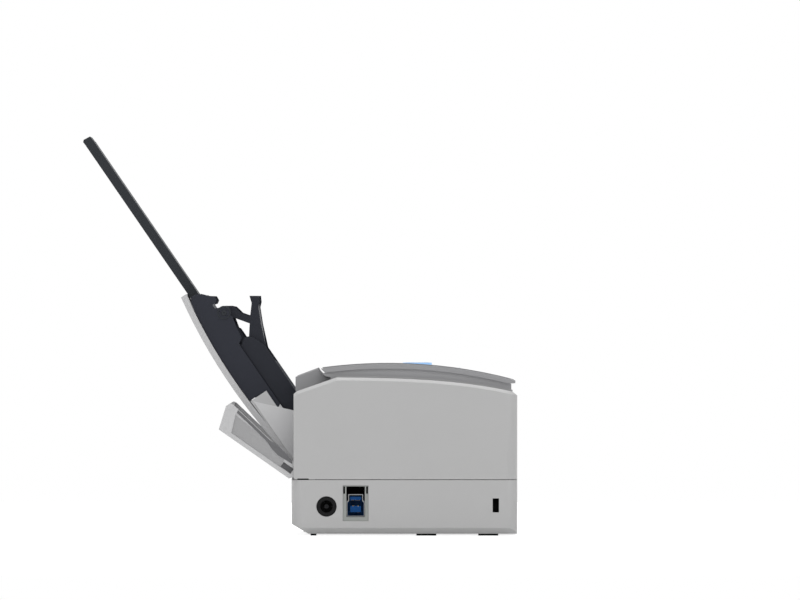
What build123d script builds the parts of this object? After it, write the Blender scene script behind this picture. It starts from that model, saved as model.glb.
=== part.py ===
from build123d import *
import math
import os

# A compact sheet-fed document scanner, standing open and ready to scan.
# X runs across the width, -Y is the front and +Y the rear, and +Z is up.
# The origin is on the table, under the middle of the open scanner. Millimetres.

# Overall case
half_width = 148.0
lid_half = half_width - 31.0
guide_reach = lid_half - 5.0
front_y = -108.95
rear_y = 3.9
seam_z = 27.9
seam_gap = 0.3
hinge_gap = 0.45
hinge_gap_y = (-4.6, 1.0)
floor_z = 1.0
wall = 2.6
corner_radius = 5.0
running_gap = 0.05
slide_gap = 0.3

# Lower housing
rear_chamfer_y = -4.55
rear_chamfer_z = 5.9
seam_chamfer = 0.5
floor_thickness = 2.4
bottom_bevel = 3.0
foot_sink = 1.0
front_foot_y = (-99.5, -89.5)
middle_foot_y = (-68.5, -58.5)
rear_foot_y = (-8.5, -5.5)
foot_half_span = half_width - 18.0
foot_length = 22.0

# Deck under the paper path
deck_top = 26.4
deck_thickness = 2.2
path_z = 27.3
ramp_radius = 16.0
ramp_thickness = 1.6
path_gap = 2.2
lid_lean = 34.5

# Chassis plates that carry the shafts
plate_x = lid_half + 1.5
plate_thickness = 1.5
plate_top = deck_top + 1.0

# Rollers
shaft_radius = 2.5
roller_z = 20.3
drive_radius = 7.0
feed_y = -38.0
transport_y = -78.0
pick_radius = 8.0
pick_y = -13.5
pick_z = 22.05
tyre_width = 16.0
tyre_places = (-66.0, -22.0, 22.0, 66.0)
pick_places = (-20.0, 20.0)
nip_gap = 0.35
idler_radius = 5.0
idler_shaft_radius = 1.5
brake_radius = 7.0

# Gear train
gear_module = 0.8
gear_x = plate_x + 2.5
gear_width = 4.0
wide_gear_width = 9.0
shaft_teeth = 20
idler_teeth = 30
link_teeth = 16
pinion_teeth = 12
gear_backlash = 0.12

# Motor
motor_width = 16.0
motor_height = 12.6
motor_length = 26.0
motor_z = 10.6
motor_shaft_radius = 1.0

# Scan heads
head_y = -58.0
head_width = 15.0
head_half_length = lid_half - 9.0
lower_head_bottom = 17.2
glass_thickness = 1.2

# Connectors on the left side
jack_y = -13.55
jack_z = 14.65
jack_radius = 5.05
jack_bore = 3.1
jack_depth = 11.0
jack_pin_radius = 1.2
usb_y = -28.1
usb_z = 16.25
usb_frame_width = 12.85
usb_frame_height = 17.8
usb_hole_width = 9.2
usb_hole_height = 15.3
usb_depth = 14.0
usb_recess = 0.8
usb_floor_z = 9.95
usb_height = 10.4
usb_wide_half = 4.1
usb_narrow_half = 3.3
usb_steps = (6.6, 7.4)
usb_shell = 0.4
usb_tongue_half = 2.7
usb_lower_tongue = (1.8, 4.9)
usb_upper_tongue = (7.9, 9.6)
lock_y = -98.2
lock_z = 15.2
lock_width = 3.15
lock_height = 7.0
board_z = 5.4
board_thickness = 1.6
board_edge_x = -gear_x

# Upper housing
upper_rear_y = 2.9
side_top = [(2.9, 70.9), (1.45, 72.2), (-10.55, 76.4), (-18.55, 79.2)]
side_crown = [(-50.5, 78.6), (-88.5, 75.4), (-106.6, 72.1)]
side_front_top = 70.2
side_wall = 2.8
rim_chamfer = 1.5
roof_slope = 0.3
front_wall = 2.4

# Top cover, one raised end block at each side
slab_outer = half_width - 4.1
slab_inner = lid_half + 0.9
slab_thickness = 2.3
lip_chamfer = (3.0, 1.0)
slab_rear = (-10.55, 83.6)
slab_peak = (-50.0, 85.8)
slab_front = (-108.0, 77.6)
end_wall = 1.8
end_outer = half_width - 6.2
end_inner = lid_half + 1.4
end_rear_y = -12.2
end_front_y = -106.0
wedge_outer = end_inner + 12.6
wedge_foot = 72.4

# Output tray recess between the end blocks
recess_half = end_inner
notch_floor = 73.6
tray_floor_rear = (-22.5, 55.0)
tray_floor_middle = (-62.0, 53.0)
tray_floor_front = (-78.5, 48.2)
tray_thickness = 1.6
turn_y = -86.0
turn_z = 38.5
turn_radius = 9.9
turn_gap = 3.2

# Buttons on the right end block
button_x = end_inner + 12.6
cap_height = 3.4
scan_button_y = -59.2
scan_button_radius = 6.2
ring_radius = 7.4
wifi_button_y = -78.0
wifi_button_radius = 3.6
button_gap = 0.25
button_travel = 1.2
button_board_z = 76.0

# Lid: u runs up the lid from its free end towards -u at the hinge, w is its depth
lid_tip = (59.45, 119.15)
lid_pivot = (-14.55, 57.15)
shell_thickness = 3.0
shell_bow = 4.5
shell_tail_u = -98.5
wing_thickness = 1.7
pivot_boss_radius = 4.2
pivot_pin_radius = 2.0
tray_plate_w = (8.3, 10.8)
tray_tail_u = -101.0
chute_half = lid_half - 2.0
chute_wall = 2.2
chute_seam = 0.15
chute_wall_tail_u = -62.3
chute_flange_tail_u = -90.0
chute_flange_w = 6.0

# Sheet extension
extension_half = 58.0
extension_w = (3.4, 8.0)
extension_inner_u = -12.0
extension_tip_u = 93.4
extension_skin = 2.0

# Side guides
guide_x = lid_half - 10.0
guide_wall = 1.8
guide_w = 15.0
guide_u = (-76.0, -24.4)
groove_u = -86.0
groove_inner = 20.5
groove_play = 0.15
key_neck = 1.4
key_head = 2.5
key_head_w = (9.1, 9.8)

# Stacker behind the outgoing sheets
stacker_half = lid_half - 4.4
stacker_wall = 2.0
stacker_top_u = -35.0
stacker_face_top_u = -49.5
stacker_tail_u = -94.5
stacker_face_w = (17.2, 19.3)
stacker_rib_w = 20.9

# Output guide
guide_pivot = (37.9, 111.5)
guide_half = lid_half - 7.0
guide_side_wall = 2.7
guide_boss_radius = 3.5
guide_pin_radius = 1.1

# Rear flap
flap_pivot = (-1.0, 30.6)
flap_lean = 34.9
flap_half = half_width - 3.4
flap_floor_p = (-5.2, -3.2)
flap_length = 46.8
flap_wall_inner = flap_half - 13.0
flap_ear_radius = 2.1
flap_pin_radius = 1.0

# Upper unit hinge
unit_pivot = (1.9, 28.1)
unit_ear_radius = 2.0
unit_pin_radius = 0.9
unit_ear_x = (gear_x, gear_x + 9.0)
knuckle_width = 5.0
bracket_y = (-9.0, -5.0)
bracket_top = 35.0

# Release lever
lever_half = 11.0
lever_pivot = (-106.3, 36.0)
lever_pin_radius = 1.6


def block(x, y, z):
    """A box from its low and high limits along each axis."""
    size = [high - low for low, high in (x, y, z)]
    centre = [(high + low) / 2 for low, high in (x, y, z)]
    return Pos(*centre) * Box(*size)


def across(face, x_low, x_high):
    """A side profile drawn in (Y, Z), run across the width."""
    return extrude(Plane.YZ.offset(x_low) * face, x_high - x_low)


def plate(points, x_low, x_high):
    """A plate whose side outline is a list of (Y, Z) corners."""
    return across(make_face(Polyline(*points, close=True)), x_low, x_high)


def rod(radius, centre, x_low, x_high):
    """A round bar across the width, about a (Y, Z) centre."""
    return across(Pos(*centre) * Circle(radius), x_low, x_high)


def both_sides(make, x_low, x_high):
    """The same piece at the right and at the left."""
    return make(x_low, x_high) + make(-x_high, -x_low)


def arc_band(start, middle, end, thickness):
    """A curved sheet's side face, thickness measured downwards in Z."""
    top = ThreePointArc(start, middle, end)
    low = ThreePointArc(
        (end[0], end[1] - thickness),
        (middle[0], middle[1] - thickness),
        (start[0], start[1] - thickness),
    )
    return make_face([top, Line(top @ 1, low @ 0), low, Line(low @ 1, top @ 0)])


up_lid = (math.sin(math.radians(lid_lean)), math.cos(math.radians(lid_lean)))
out_lid = (-up_lid[1], up_lid[0])


def on_lid(u, w):
    """The (Y, Z) place of a point u along the lid and w in front of it."""
    return (
        lid_tip[0] + u * up_lid[0] + w * out_lid[0],
        lid_tip[1] + u * up_lid[1] + w * out_lid[1],
    )


def lid_plate(points, x_low, x_high):
    return plate([on_lid(u, w) for u, w in points], x_low, x_high)


def lid_block(x, u, w):
    corners = [(u[0], w[0]), (u[1], w[0]), (u[1], w[1]), (u[0], w[1])]
    return lid_plate(corners, *x)


flap_along = (math.cos(math.radians(flap_lean)), math.sin(math.radians(flap_lean)))
flap_inward = (-flap_along[1], flap_along[0])


def on_flap(a, p):
    """The (Y, Z) place of a point a along the flap and p above its hinge line."""
    return (
        flap_pivot[0] + a * flap_along[0] + p * flap_inward[0],
        flap_pivot[1] + a * flap_along[1] + p * flap_inward[1],
    )


def flap_plate(points, x_low, x_high):
    return plate([on_flap(a, p) for a, p in points], x_low, x_high)


def gear(teeth, module, width, centre, x_low, bore, phase):
    """A spur gear about an axis along X, with one tooth at angle phase."""
    pitch = teeth * module / 2
    tip = pitch + module * 0.9
    root = pitch - module * 1.15
    step = 360 / teeth
    half_pitch = step / 4 - math.degrees(gear_backlash / pitch)
    points = []
    for index in range(teeth):
        middle = phase + index * step
        for radius, share in ((root, -1.5), (tip, -0.45), (tip, 0.45), (root, 1.5)):
            angle = math.radians(middle + share * half_pitch)
            points.append((radius * math.cos(angle), radius * math.sin(angle)))
    face = Polyline(*points, close=True)
    wheel = across(Pos(*centre) * make_face(face), x_low, x_low + width)
    if bore:
        wheel -= rod(bore, centre, x_low - 1, x_low + width + 1)
    return wheel


def meshing_phase(teeth_a, phase_a, centre_a, teeth_b, centre_b):
    """The tooth angle of gear b that puts its gap on gear a's tooth."""
    toward = math.degrees(
        math.atan2(centre_b[1] - centre_a[1], centre_b[0] - centre_a[0])
    )
    share_a = ((toward - phase_a) / (360 / teeth_a)) % 1
    return toward + 180 - (0.5 - share_a) * 360 / teeth_b


def side_profile():
    """The upper housing's side outline: a sloped rear and a crowned top."""
    rear = Polyline((upper_rear_y, seam_z + seam_gap), *side_top)
    crown = Spline(side_top[-1], *side_crown)
    front = Polyline(
        side_crown[-1],
        (front_y, side_front_top),
        (front_y, seam_z + seam_gap),
        (upper_rear_y, seam_z + seam_gap),
    )
    return make_face([*rear.edges(), *crown.edges(), *front.edges()])


# Lower unit
def make_lower_housing():
    outline = [
        (rear_y - seam_chamfer, seam_z),
        (rear_y, seam_z - seam_chamfer),
        (rear_y, rear_chamfer_z),
        (rear_chamfer_y, floor_z),
        (front_y, floor_z),
        (front_y, seam_z),
    ]
    body = plate(outline, -half_width, half_width)
    sides = body.faces().sort_by(Axis.Z)[0].edges().filter_by(Axis.Y)
    body = chamfer(sides, bottom_bevel)
    uprights = body.edges().filter_by(Axis.Z).filter_by(lambda e: e.length > 10)
    body = fillet(uprights, corner_radius)
    inside = [
        (rear_y - wall, seam_z + 1),
        (rear_y - wall, rear_chamfer_z + 1),
        (rear_chamfer_y - 1, floor_z + floor_thickness),
        (front_y + wall, floor_z + floor_thickness),
        (front_y + wall, seam_z + 1),
    ]
    reach = half_width - wall
    body -= plate(inside, -reach, reach)
    body += block((-reach, -reach + 2), (front_y + 1, rear_y - 6), (floor_z + 1, 22))
    body -= rod(jack_radius + 0.05, (jack_y, jack_z), -half_width - 1, -reach + 3)
    body -= block(
        (-half_width - 1, -reach + 3),
        (usb_y - usb_frame_width / 2, usb_y + usb_frame_width / 2),
        (usb_z - usb_frame_height / 2, usb_z + usb_frame_height / 2),
    )
    body -= block(
        (-half_width - 1, -reach + 3),
        (lock_y - lock_width / 2, lock_y + lock_width / 2),
        (lock_z - lock_height / 2, lock_z + lock_height / 2),
    )
    ledge_z = deck_top - deck_thickness
    for y_low, y_high in ((front_y + wall, front_y + wall + 3),):
        body += block((-reach, reach), (y_low, y_high), (ledge_z - 2, ledge_z))
    for x, y in screw_places():
        body += Pos(x, y, floor_z + floor_thickness) * Cylinder(
            3.2, ledge_z - floor_z - floor_thickness, align=(Align.CENTER, Align.CENTER, Align.MIN)
        )
        body -= Pos(x, y, 0) * Cylinder(1.3, ledge_z + 2, align=(Align.CENTER, Align.CENTER, Align.MIN))
        body -= Pos(x, y, 0) * Cylinder(2.8, floor_z + 1.6, align=(Align.CENTER, Align.CENTER, Align.MIN))
    for y_low, y_high in (front_foot_y, middle_foot_y):
        for x in (-foot_half_span, foot_half_span):
            body -= foot_pad(x, foot_length, y_low, y_high)
    ear_low, ear_high = unit_ear_x
    body -= both_sides(
        lambda a, b: rod(unit_ear_radius + 0.5, unit_pivot, a, b),
        ear_low - slide_gap,
        ear_high + knuckle_width + 2 * slide_gap,
    )
    body += both_sides(unit_ear, ear_low, ear_high)
    return body - both_sides(
        lambda a, b: rod(unit_pin_radius + running_gap, unit_pivot, a, b), ear_low - 1, ear_high + 1
    )


def unit_ear(x_low, x_high):
    """The lower half of the upper unit's hinge, on top of the rear wall."""
    y, z = unit_pivot
    web = block((x_low, x_high), (rear_y - wall, rear_y), (z - 4.0, z))
    return web + rod(unit_ear_radius, unit_pivot, x_low, x_high)


def screw_places():
    reach = half_width - 12.0
    return [(x, y) for x in (-reach, reach) for y in (-80.0, -48.0)]


def foot_pad(x, length, y_low, y_high):
    pad = block(
        (x - length / 2, x + length / 2), (y_low, y_high), (0, floor_z + foot_sink)
    )
    return fillet(pad.edges().filter_by(Axis.Z), 2)


def make_rubber_feet():
    feet = []
    for y_low, y_high in (front_foot_y, middle_foot_y):
        for x in (-foot_half_span, foot_half_span):
            feet.append(foot_pad(x, foot_length, y_low, y_high))
    for x in (-foot_half_span, foot_half_span):
        feet.append(block((x - 4, x + 4), rear_foot_y, (0, floor_z)))
    return Compound(feet)


def make_housing_screws():
    screws = []
    for x, y in screw_places():
        head = Pos(x, y, floor_z + 0.4) * Cylinder(2.6, 1.2, align=(Align.CENTER, Align.CENTER, Align.MIN))
        stem = Pos(x, y, floor_z + 0.4) * Cylinder(1.25, 12, align=(Align.CENTER, Align.CENTER, Align.MIN))
        drive = Pos(x, y, floor_z + 0.4) * (Box(0.6, 3, 1.2) + Box(3, 0.6, 1.2))
        screws.append(head + stem - drive)
    return Compound(screws)


def ramp_geometry():
    """Centre of the bend that turns sheets from the chute to the flat path."""
    turn = math.radians(90 - lid_lean)
    entry = on_lid(tray_tail_u, tray_plate_w[1])
    corner_y = entry[0] - (entry[1] - path_z) * math.tan(math.radians(lid_lean))
    centre = (corner_y - ramp_radius * math.tan(turn / 2), path_z + ramp_radius)
    return centre, turn


def make_paper_deck():
    reach = plate_x - 0.2
    base = block((-reach, reach), (front_y + wall + 0.3, -16), (deck_top - deck_thickness, deck_top))
    (cy, cz), turn = ramp_geometry()
    inner = ramp_radius + path_z - deck_top
    outer = inner + ramp_thickness
    mid = turn / 2

    def place(radius, angle):
        return (cy + radius * math.sin(angle), cz - radius * math.cos(angle))

    inner_arc = ThreePointArc(place(inner, 0), place(inner, mid), place(inner, turn))
    outer_arc = ThreePointArc(place(outer, turn), place(outer, mid), place(outer, 0))
    face = make_face(
        [inner_arc, Line(inner_arc @ 1, outer_arc @ 0), outer_arc, Line(outer_arc @ 1, inner_arc @ 0)]
    )
    base += across(face, -guide_reach, guide_reach)
    base -= both_sides(lambda a, b: block((a, b), (cy, 0), (0, deck_top + 20)), guide_reach, reach + 1)
    for y, places in ((feed_y, tyre_places), (transport_y, tyre_places)):
        for x in places:
            base -= block(
                (x - tyre_width / 2 - 0.6, x + tyre_width / 2 + 0.6),
                (y - 6.4, y + 6.4),
                (deck_top - 4, deck_top + 1),
            )
    for x in pick_places:
        base -= block(
            (x - tyre_width / 2 - 0.6, x + tyre_width / 2 + 0.6), (-24, -5), (12, 36)
        )
    half = head_width / 2 + 0.1
    reach = head_half_length + 0.1
    base -= block((-reach, reach), (head_y - half, head_y + half), (20, 30))
    return base


def make_side_plates():
    """Two steel plates that carry the shafts, one at each end of the path."""
    low = floor_z + floor_thickness

    def one(x_low, x_high):
        return plate(
            [(-6, low), (-6, plate_top), (-100, plate_top), (-100, low)], x_low, x_high
        )

    plates = both_sides(one, plate_x, plate_x + plate_thickness)
    for centre in shaft_centres():
        plates -= rod(shaft_radius + running_gap, centre, -half_width, half_width)
    plates -= rod(2.0 + running_gap, idler_centre(), -half_width, half_width)
    plates -= rod(2.0 + running_gap, link_centre(), -half_width, half_width)
    plates -= rod(motor_shaft_radius + 0.8, motor_centre(), -half_width, half_width)
    return plates


def shaft_centres():
    return [(feed_y, roller_z), (transport_y, roller_z), (pick_y, pick_z)]


def idler_centre():
    return ((feed_y + transport_y) / 2, roller_z)


def gear_distance(a, b):
    return (a + b) * gear_module / 2


def link_centre():
    """The small gear between the pick and feed shafts, below their line."""
    dy = pick_y - feed_y
    dz = pick_z - roller_z
    span = math.hypot(dy, dz)
    arm = gear_distance(shaft_teeth, link_teeth)
    drop = math.sqrt(arm**2 - span**2 / 4)
    middle = ((pick_y + feed_y) / 2, (pick_z + roller_z) / 2)
    return (middle[0] + drop * dz / span, middle[1] - drop * dy / span)


def motor_centre():
    arm = gear_distance(idler_teeth, pinion_teeth)
    fall = roller_z - motor_z
    return (idler_centre()[0] + math.sqrt(arm**2 - fall**2), motor_z)


def gear_phases():
    feed = (feed_y, roller_z)
    transport = (transport_y, roller_z)
    pick = (pick_y, pick_z)
    idler = meshing_phase(shaft_teeth, 0, feed, idler_teeth, idler_centre())
    link = meshing_phase(shaft_teeth, 0, feed, link_teeth, link_centre())
    return {
        "feed": 0,
        "idler": idler,
        "transport": meshing_phase(idler_teeth, idler, idler_centre(), shaft_teeth, transport),
        "link": link,
        "pick": meshing_phase(link_teeth, link, link_centre(), shaft_teeth, pick),
        "pinion": meshing_phase(idler_teeth, idler, idler_centre(), pinion_teeth, motor_centre()),
    }


def make_shaft(centre, tail):
    """A steel roller shaft that runs in the two side plates."""
    shaft = rod(shaft_radius, centre, -plate_x - plate_thickness - 2, tail)
    return shaft


def make_tyres(centre, radius, places):
    tyres = []
    for x in places:
        tyre = rod(radius, centre, x - tyre_width / 2, x + tyre_width / 2)
        tyres.append(tyre - rod(shaft_radius, centre, -half_width, half_width))
    return Compound(tyres)


def make_shaft_gear(name, centre):
    return gear(
        shaft_teeth, gear_module, gear_width, centre, gear_x, shaft_radius, gear_phases()[name]
    )


def make_axle_gear(name, teeth, width, centre):
    """A gear on its own axle, which runs in the right side plate."""
    wheel = gear(teeth, gear_module, width, centre, gear_x, 0, gear_phases()[name])
    return wheel + rod(2.0, centre, plate_x - 2, gear_x + width + 1)


def make_motor():
    y, z = motor_centre()
    can = rod(motor_width / 2, (y, z), plate_x - 1 - motor_length, plate_x)
    half = motor_height / 2
    can &= block((0, half_width), (y - 20, y + 20), (z - half, z + half))
    collar = rod(3.0, (y, z), plate_x - motor_length - 3, plate_x - motor_length)
    return can + collar - rod(motor_shaft_radius + running_gap, (y, z), plate_x - 8, plate_x + 1)


def make_motor_pinion():
    y, z = motor_centre()
    x_low = gear_x + gear_width + 0.6
    width = wide_gear_width - gear_width - 0.6
    wheel = gear(pinion_teeth, gear_module, width, (y, z), x_low, 0, gear_phases()["pinion"])
    return wheel + rod(motor_shaft_radius, (y, z), plate_x - 7, x_low + width)


def make_lower_head():
    half = head_width / 2
    body = block(
        (-head_half_length, head_half_length),
        (head_y - half, head_y + half),
        (lower_head_bottom, deck_top - glass_thickness),
    )
    window = block(
        (-head_half_length + 6, head_half_length - 6),
        (head_y - 2.5, head_y + 2.5),
        (deck_top - glass_thickness - 4, deck_top),
    )
    return body - window


def make_lower_glass():
    half = head_width / 2
    return block(
        (-head_half_length, head_half_length),
        (head_y - half, head_y + half),
        (deck_top - glass_thickness, deck_top),
    )


def make_head_springs_seat():
    """Two posts that carry the lower scan head from the housing floor."""
    low = floor_z + floor_thickness
    posts = []
    for x in (-80.0, 70.0):
        posts.append(
            Pos(x, head_y, low)
            * Cylinder(4, lower_head_bottom - low, align=(Align.CENTER, Align.CENTER, Align.MIN))
        )
    return Compound(posts)


def make_main_board():
    """The controller board, in front of the lower scan head."""
    top = board_z + board_thickness
    board = block((-100.0, 30.0), (-103.0, -69.0), (board_z, top))
    for x, y, size in ((-60.0, -86.0, 9.0), (-20.0, -92.0, 6.0), (10.0, -80.0, 5.0)):
        board += block((x - size, x + size), (y - size, y + size), (top, top + 1.4))
    return board


def make_io_board():
    """The small board in the left end that holds the power jack and the socket."""
    return block((-half_width + 5.2, board_edge_x), (-38.0, -5.0), (board_z, board_z + board_thickness))


def standoff_places():
    main = [(x, y) for x in (-96.0, 26.0) for y in (-99.0, -73.0)]
    return main + [(board_edge_x - 4.0, -34.0), (board_edge_x - 4.0, -9.0)]


def make_board_standoffs():
    low = floor_z + floor_thickness
    posts = []
    for x, y in standoff_places():
        posts.append(
            Pos(x, y, low)
            * Cylinder(2.2, board_z - low, align=(Align.CENTER, Align.CENTER, Align.MIN))
        )
    return Compound(posts)


def make_dc_jack():
    low = -half_width + 0.9
    barrel = rod(jack_radius, (jack_y, jack_z), low, low + jack_depth)
    barrel += block(
        (-half_width + wall + 2.1, low + jack_depth),
        (jack_y - 4.5, jack_y + 4.5),
        (board_z + board_thickness, jack_z),
    )
    return barrel - rod(jack_bore, (jack_y, jack_z), low - 1, low + jack_depth - 2)


def make_dc_pin():
    low = -half_width + 1.6
    pin = rod(jack_pin_radius, (jack_y, jack_z), low, -half_width + 0.9 + jack_depth - 2)
    return chamfer(pin.faces().sort_by(Axis.X)[0].edges(), 0.3)


def make_usb_bezel():
    frame = block(
        (-half_width + usb_recess, -half_width + 4.4),
        (usb_y - usb_frame_width / 2, usb_y + usb_frame_width / 2),
        (usb_z - usb_frame_height / 2, usb_z + usb_frame_height / 2),
    )
    hole_top = usb_z + usb_frame_height / 2 - 0.5
    frame -= block(
        (-half_width - 1, -half_width + 6),
        (usb_y - usb_hole_width / 2, usb_y + usb_hole_width / 2),
        (hole_top - usb_hole_height, hole_top),
    )
    for y in (usb_y - usb_frame_width / 2 + 0.3, usb_y + usb_frame_width / 2 - 1.1):
        frame -= block((-half_width - 1, -half_width + 6), (y, y + 0.8), (hole_top - 3.6, hole_top))
    return frame


def usb_outline(grow):
    """The stepped socket outline: a wide body with a narrower part on top."""
    half = usb_wide_half + grow
    top_half = usb_narrow_half + grow
    z = usb_floor_z
    step_low, step_high = usb_steps
    return [
        (usb_y - half, z - grow),
        (usb_y + half, z - grow),
        (usb_y + half, z + step_low + grow),
        (usb_y + top_half, z + step_high + grow),
        (usb_y + top_half, z + usb_height + grow),
        (usb_y - top_half, z + usb_height + grow),
        (usb_y - top_half, z + step_high + grow),
        (usb_y - half, z + step_low + grow),
    ]


def make_usb_socket():
    low = -half_width + 4.4
    shell = plate(usb_outline(usb_shell), low, low + usb_depth)
    shell -= plate(usb_outline(0), low - 1, low + usb_depth - 1)
    return shell


def make_usb_tongue():
    low = -half_width + 4.4
    z = usb_floor_z
    reach = (low + 1.5, low + usb_depth - 1)
    side = (usb_y - usb_tongue_half, usb_y + usb_tongue_half)
    tongue = block(reach, side, (z + usb_lower_tongue[0], z + usb_lower_tongue[1]))
    tongue += block(reach, side, (z + usb_upper_tongue[0], z + usb_upper_tongue[1]))
    tongue += plate(usb_outline(0), low + usb_depth - 2, low + usb_depth - 1)
    return tongue


# Upper unit
def make_upper_housing():
    body = across(side_profile(), -half_width, half_width)
    uprights = body.edges().filter_by(Axis.Z).group_by(Axis.Y)[0]
    body = fillet(uprights, corner_radius)
    roof = body.faces().filter_by(lambda f: f.center().Z > side_front_top and f.normal_at().Z > roof_slope)
    rims = [e for f in roof for e in f.edges() if abs(abs(e.center().X) - half_width) < slide_gap]
    body = chamfer([e for e in rims if e.length > 1], rim_chamfer)
    reach = half_width - side_wall
    body -= block((-reach, reach), (front_y + front_wall, rear_y + 2), (0, 120))
    body += both_sides(lambda a, b: block((a, b), (-100, -98), (seam_z + seam_gap, 66)), reach - 2, reach)
    body += both_sides(housing_ledge, end_outer - 1, reach)
    body += both_sides(unit_bracket, gear_x + gear_width + 1.5, reach)
    y, z = lever_pivot
    body -= block((-lever_half - 0.4, lever_half + 0.4), (front_y - 1, y + 4), (0, z + 2.6))
    body += both_sides(
        lambda a, b: block((a, b), (front_y + front_wall - 0.2, y + 3.0), (z - 3, z + 3)),
        lever_half + 0.4,
        lever_half + 3.4,
    )
    body -= rod(lever_pin_radius + running_gap, lever_pivot, -lever_half - 2.8, lever_half + 2.8)
    body -= both_sides(lambda a, b: rod(flap_pin_radius, flap_pivot, a, b), reach - 1, half_width - 1.2)
    body -= both_sides(
        lambda a, b: rod(unit_pin_radius, unit_pivot, a, b), unit_ear_x[1], unit_ear_x[1] + knuckle_width
    )
    gap_top = seam_z + seam_gap + hinge_gap
    body -= both_sides(lambda a, b: block((a, b), hinge_gap_y, (seam_z, gap_top)), reach - 1, half_width + 1)
    corner = [(rear_y - 2.0, seam_z), (rear_y + 1, seam_z), (rear_y + 1, seam_z + seam_gap + 2.4)]
    return body - both_sides(lambda a, b: plate(corner, a, b), reach - 1, half_width + 1)


def housing_ledge(x_low, x_high):
    """A ledge on the side panel that the end block's outer wall stands on."""
    return block((x_low, x_high), (-98, -20), (58, 60))


def unit_bracket(x_low, x_high):
    """A beam in from the side panel, with the knuckle of the upper unit's hinge."""
    beam = block((x_low, x_high), bracket_y, (seam_z + seam_gap, bracket_top))
    if x_low > 0:
        low = unit_ear_x[1] + slide_gap
    else:
        low = -unit_ear_x[1] - slide_gap - knuckle_width
    high = low + knuckle_width
    y, z = unit_pivot
    foot = seam_z + seam_gap
    arm = plate(
        [(bracket_y[0], foot), (y - 0.5, foot), (y, z + unit_ear_radius), (bracket_y[1], z + 4.0)],
        low,
        high,
    )
    return beam + arm + rod(unit_ear_radius, unit_pivot, low, high)


def make_front_guide():
    """The curved plate that turns sheets upwards behind the front wall."""
    outer = turn_radius + turn_gap + 1.8
    inner = turn_radius + turn_gap
    reach = guide_reach
    bend = rod(inner, (turn_y, turn_z), -half_width, half_width)
    ring = rod(outer, (turn_y, turn_z), -reach, reach) - bend
    ring &= block((-reach, reach), (front_y, turn_y), (seam_z + 2.0, 60))
    stay = block((-reach, reach), (front_y + front_wall, turn_y - inner + 0.5), (turn_z + 3, turn_z + 5))
    guide_room = block((-reach - 1, reach + 1), (turn_y - 4.0, turn_y + 1), (turn_z + inner - 1.2, 60))
    return ring + stay - bend - guide_room


def make_upper_guide():
    """The block over the paper path, round at the front where sheets turn back."""
    low = deck_top + path_gap
    (cy, cz), turn = ramp_geometry()
    nose = ramp_radius - path_gap + (path_z - deck_top)
    half_turn = turn / 2
    arc = ThreePointArc(
        (cy, cz - nose),
        (cy + nose * math.sin(half_turn), cz - nose * math.cos(half_turn)),
        (cy + nose * math.sin(turn), cz - nose * math.cos(turn)),
    )
    past = 6.5
    front = ThreePointArc(
        (turn_y + past, turn_z + math.sqrt(turn_radius**2 - past**2)),
        (turn_y - turn_radius, turn_z),
        (turn_y, turn_z - turn_radius),
    )
    under = [(turn_y, turn_z - turn_radius), (cy, cz - nose)]
    over = [
        arc @ 1,
        (-17.5, 46.0),
        (-21.5, tray_floor_rear[1] - tray_thickness - 1.2),
        (tray_floor_middle[0], tray_floor_middle[1] - tray_thickness - 1.8),
        front @ 0,
    ]
    edges = [*Line(*under).edges(), arc, *Polyline(*over).edges(), front]
    body = across(make_face(edges), -end_inner + 0.2, end_inner - 0.2)
    half = head_width / 2 + 0.1
    body -= block((-head_half_length - 0.1, head_half_length + 0.1), (head_y - half, head_y + half), (low - 2, 44))
    for y, z, radius, places in idler_rows():
        body -= rod(idler_shaft_radius + running_gap, (y, z), -guide_reach - 1, guide_reach + 1)
        for x in places:
            body -= rod(radius + 0.6, (y, z), x - tyre_width / 2 - 0.6, x + tyre_width / 2 + 0.6)
    return body


def idler_rows():
    """Each idler row: its (Y, Z), its radius and where its rollers stand."""
    (cy, cz), turn = ramp_geometry()
    reach = ramp_radius - brake_radius
    angle = turn / 2
    brake = (cy + reach * math.sin(angle), cz - reach * math.cos(angle))
    idler_z = roller_z + drive_radius + nip_gap + idler_radius
    return [
        (feed_y, idler_z, idler_radius, tyre_places),
        (transport_y, idler_z, idler_radius, tyre_places),
        (brake[0], brake[1], brake_radius, pick_places),
    ]


def make_idlers(row):
    y, z, radius, places = idler_rows()[row]
    roller = rod(idler_shaft_radius, (y, z), -guide_reach + 0.5, guide_reach - 0.5)
    for x in places:
        roller += rod(radius, (y, z), x - tyre_width / 2, x + tyre_width / 2)
    return roller


def make_upper_head():
    low = deck_top + path_gap + glass_thickness
    half = head_width / 2
    body = block((-head_half_length, head_half_length), (head_y - half, head_y + half), (low, 43))
    window = block(
        (-head_half_length + 6, head_half_length - 6), (head_y - 2.5, head_y + 2.5), (low - 1, low + 4)
    )
    return body - window


def make_upper_glass():
    low = deck_top + path_gap
    half = head_width / 2
    return block(
        (-head_half_length, head_half_length), (head_y - half, head_y + half), (low, low + glass_thickness)
    )


def slab_top(y):
    """Height of the top cover's crowned surface at y, a circle through three points."""
    (x1, y1), (x2, y2), (x3, y3) = slab_rear, slab_peak, slab_front
    a = x1 * (y2 - y3) - y1 * (x2 - x3) + x2 * y3 - x3 * y2
    s1, s2, s3 = x1**2 + y1**2, x2**2 + y2**2, x3**2 + y3**2
    b = s1 * (y3 - y2) + s2 * (y1 - y3) + s3 * (y2 - y1)
    c = s1 * (x2 - x3) + s2 * (x3 - x1) + s3 * (x1 - x2)
    cx = -b / (2 * a)
    cz = -c / (2 * a)
    radius = math.hypot(x1 - cx, y1 - cz)
    return cz + math.sqrt(radius**2 - (y - cx) ** 2)


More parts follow.
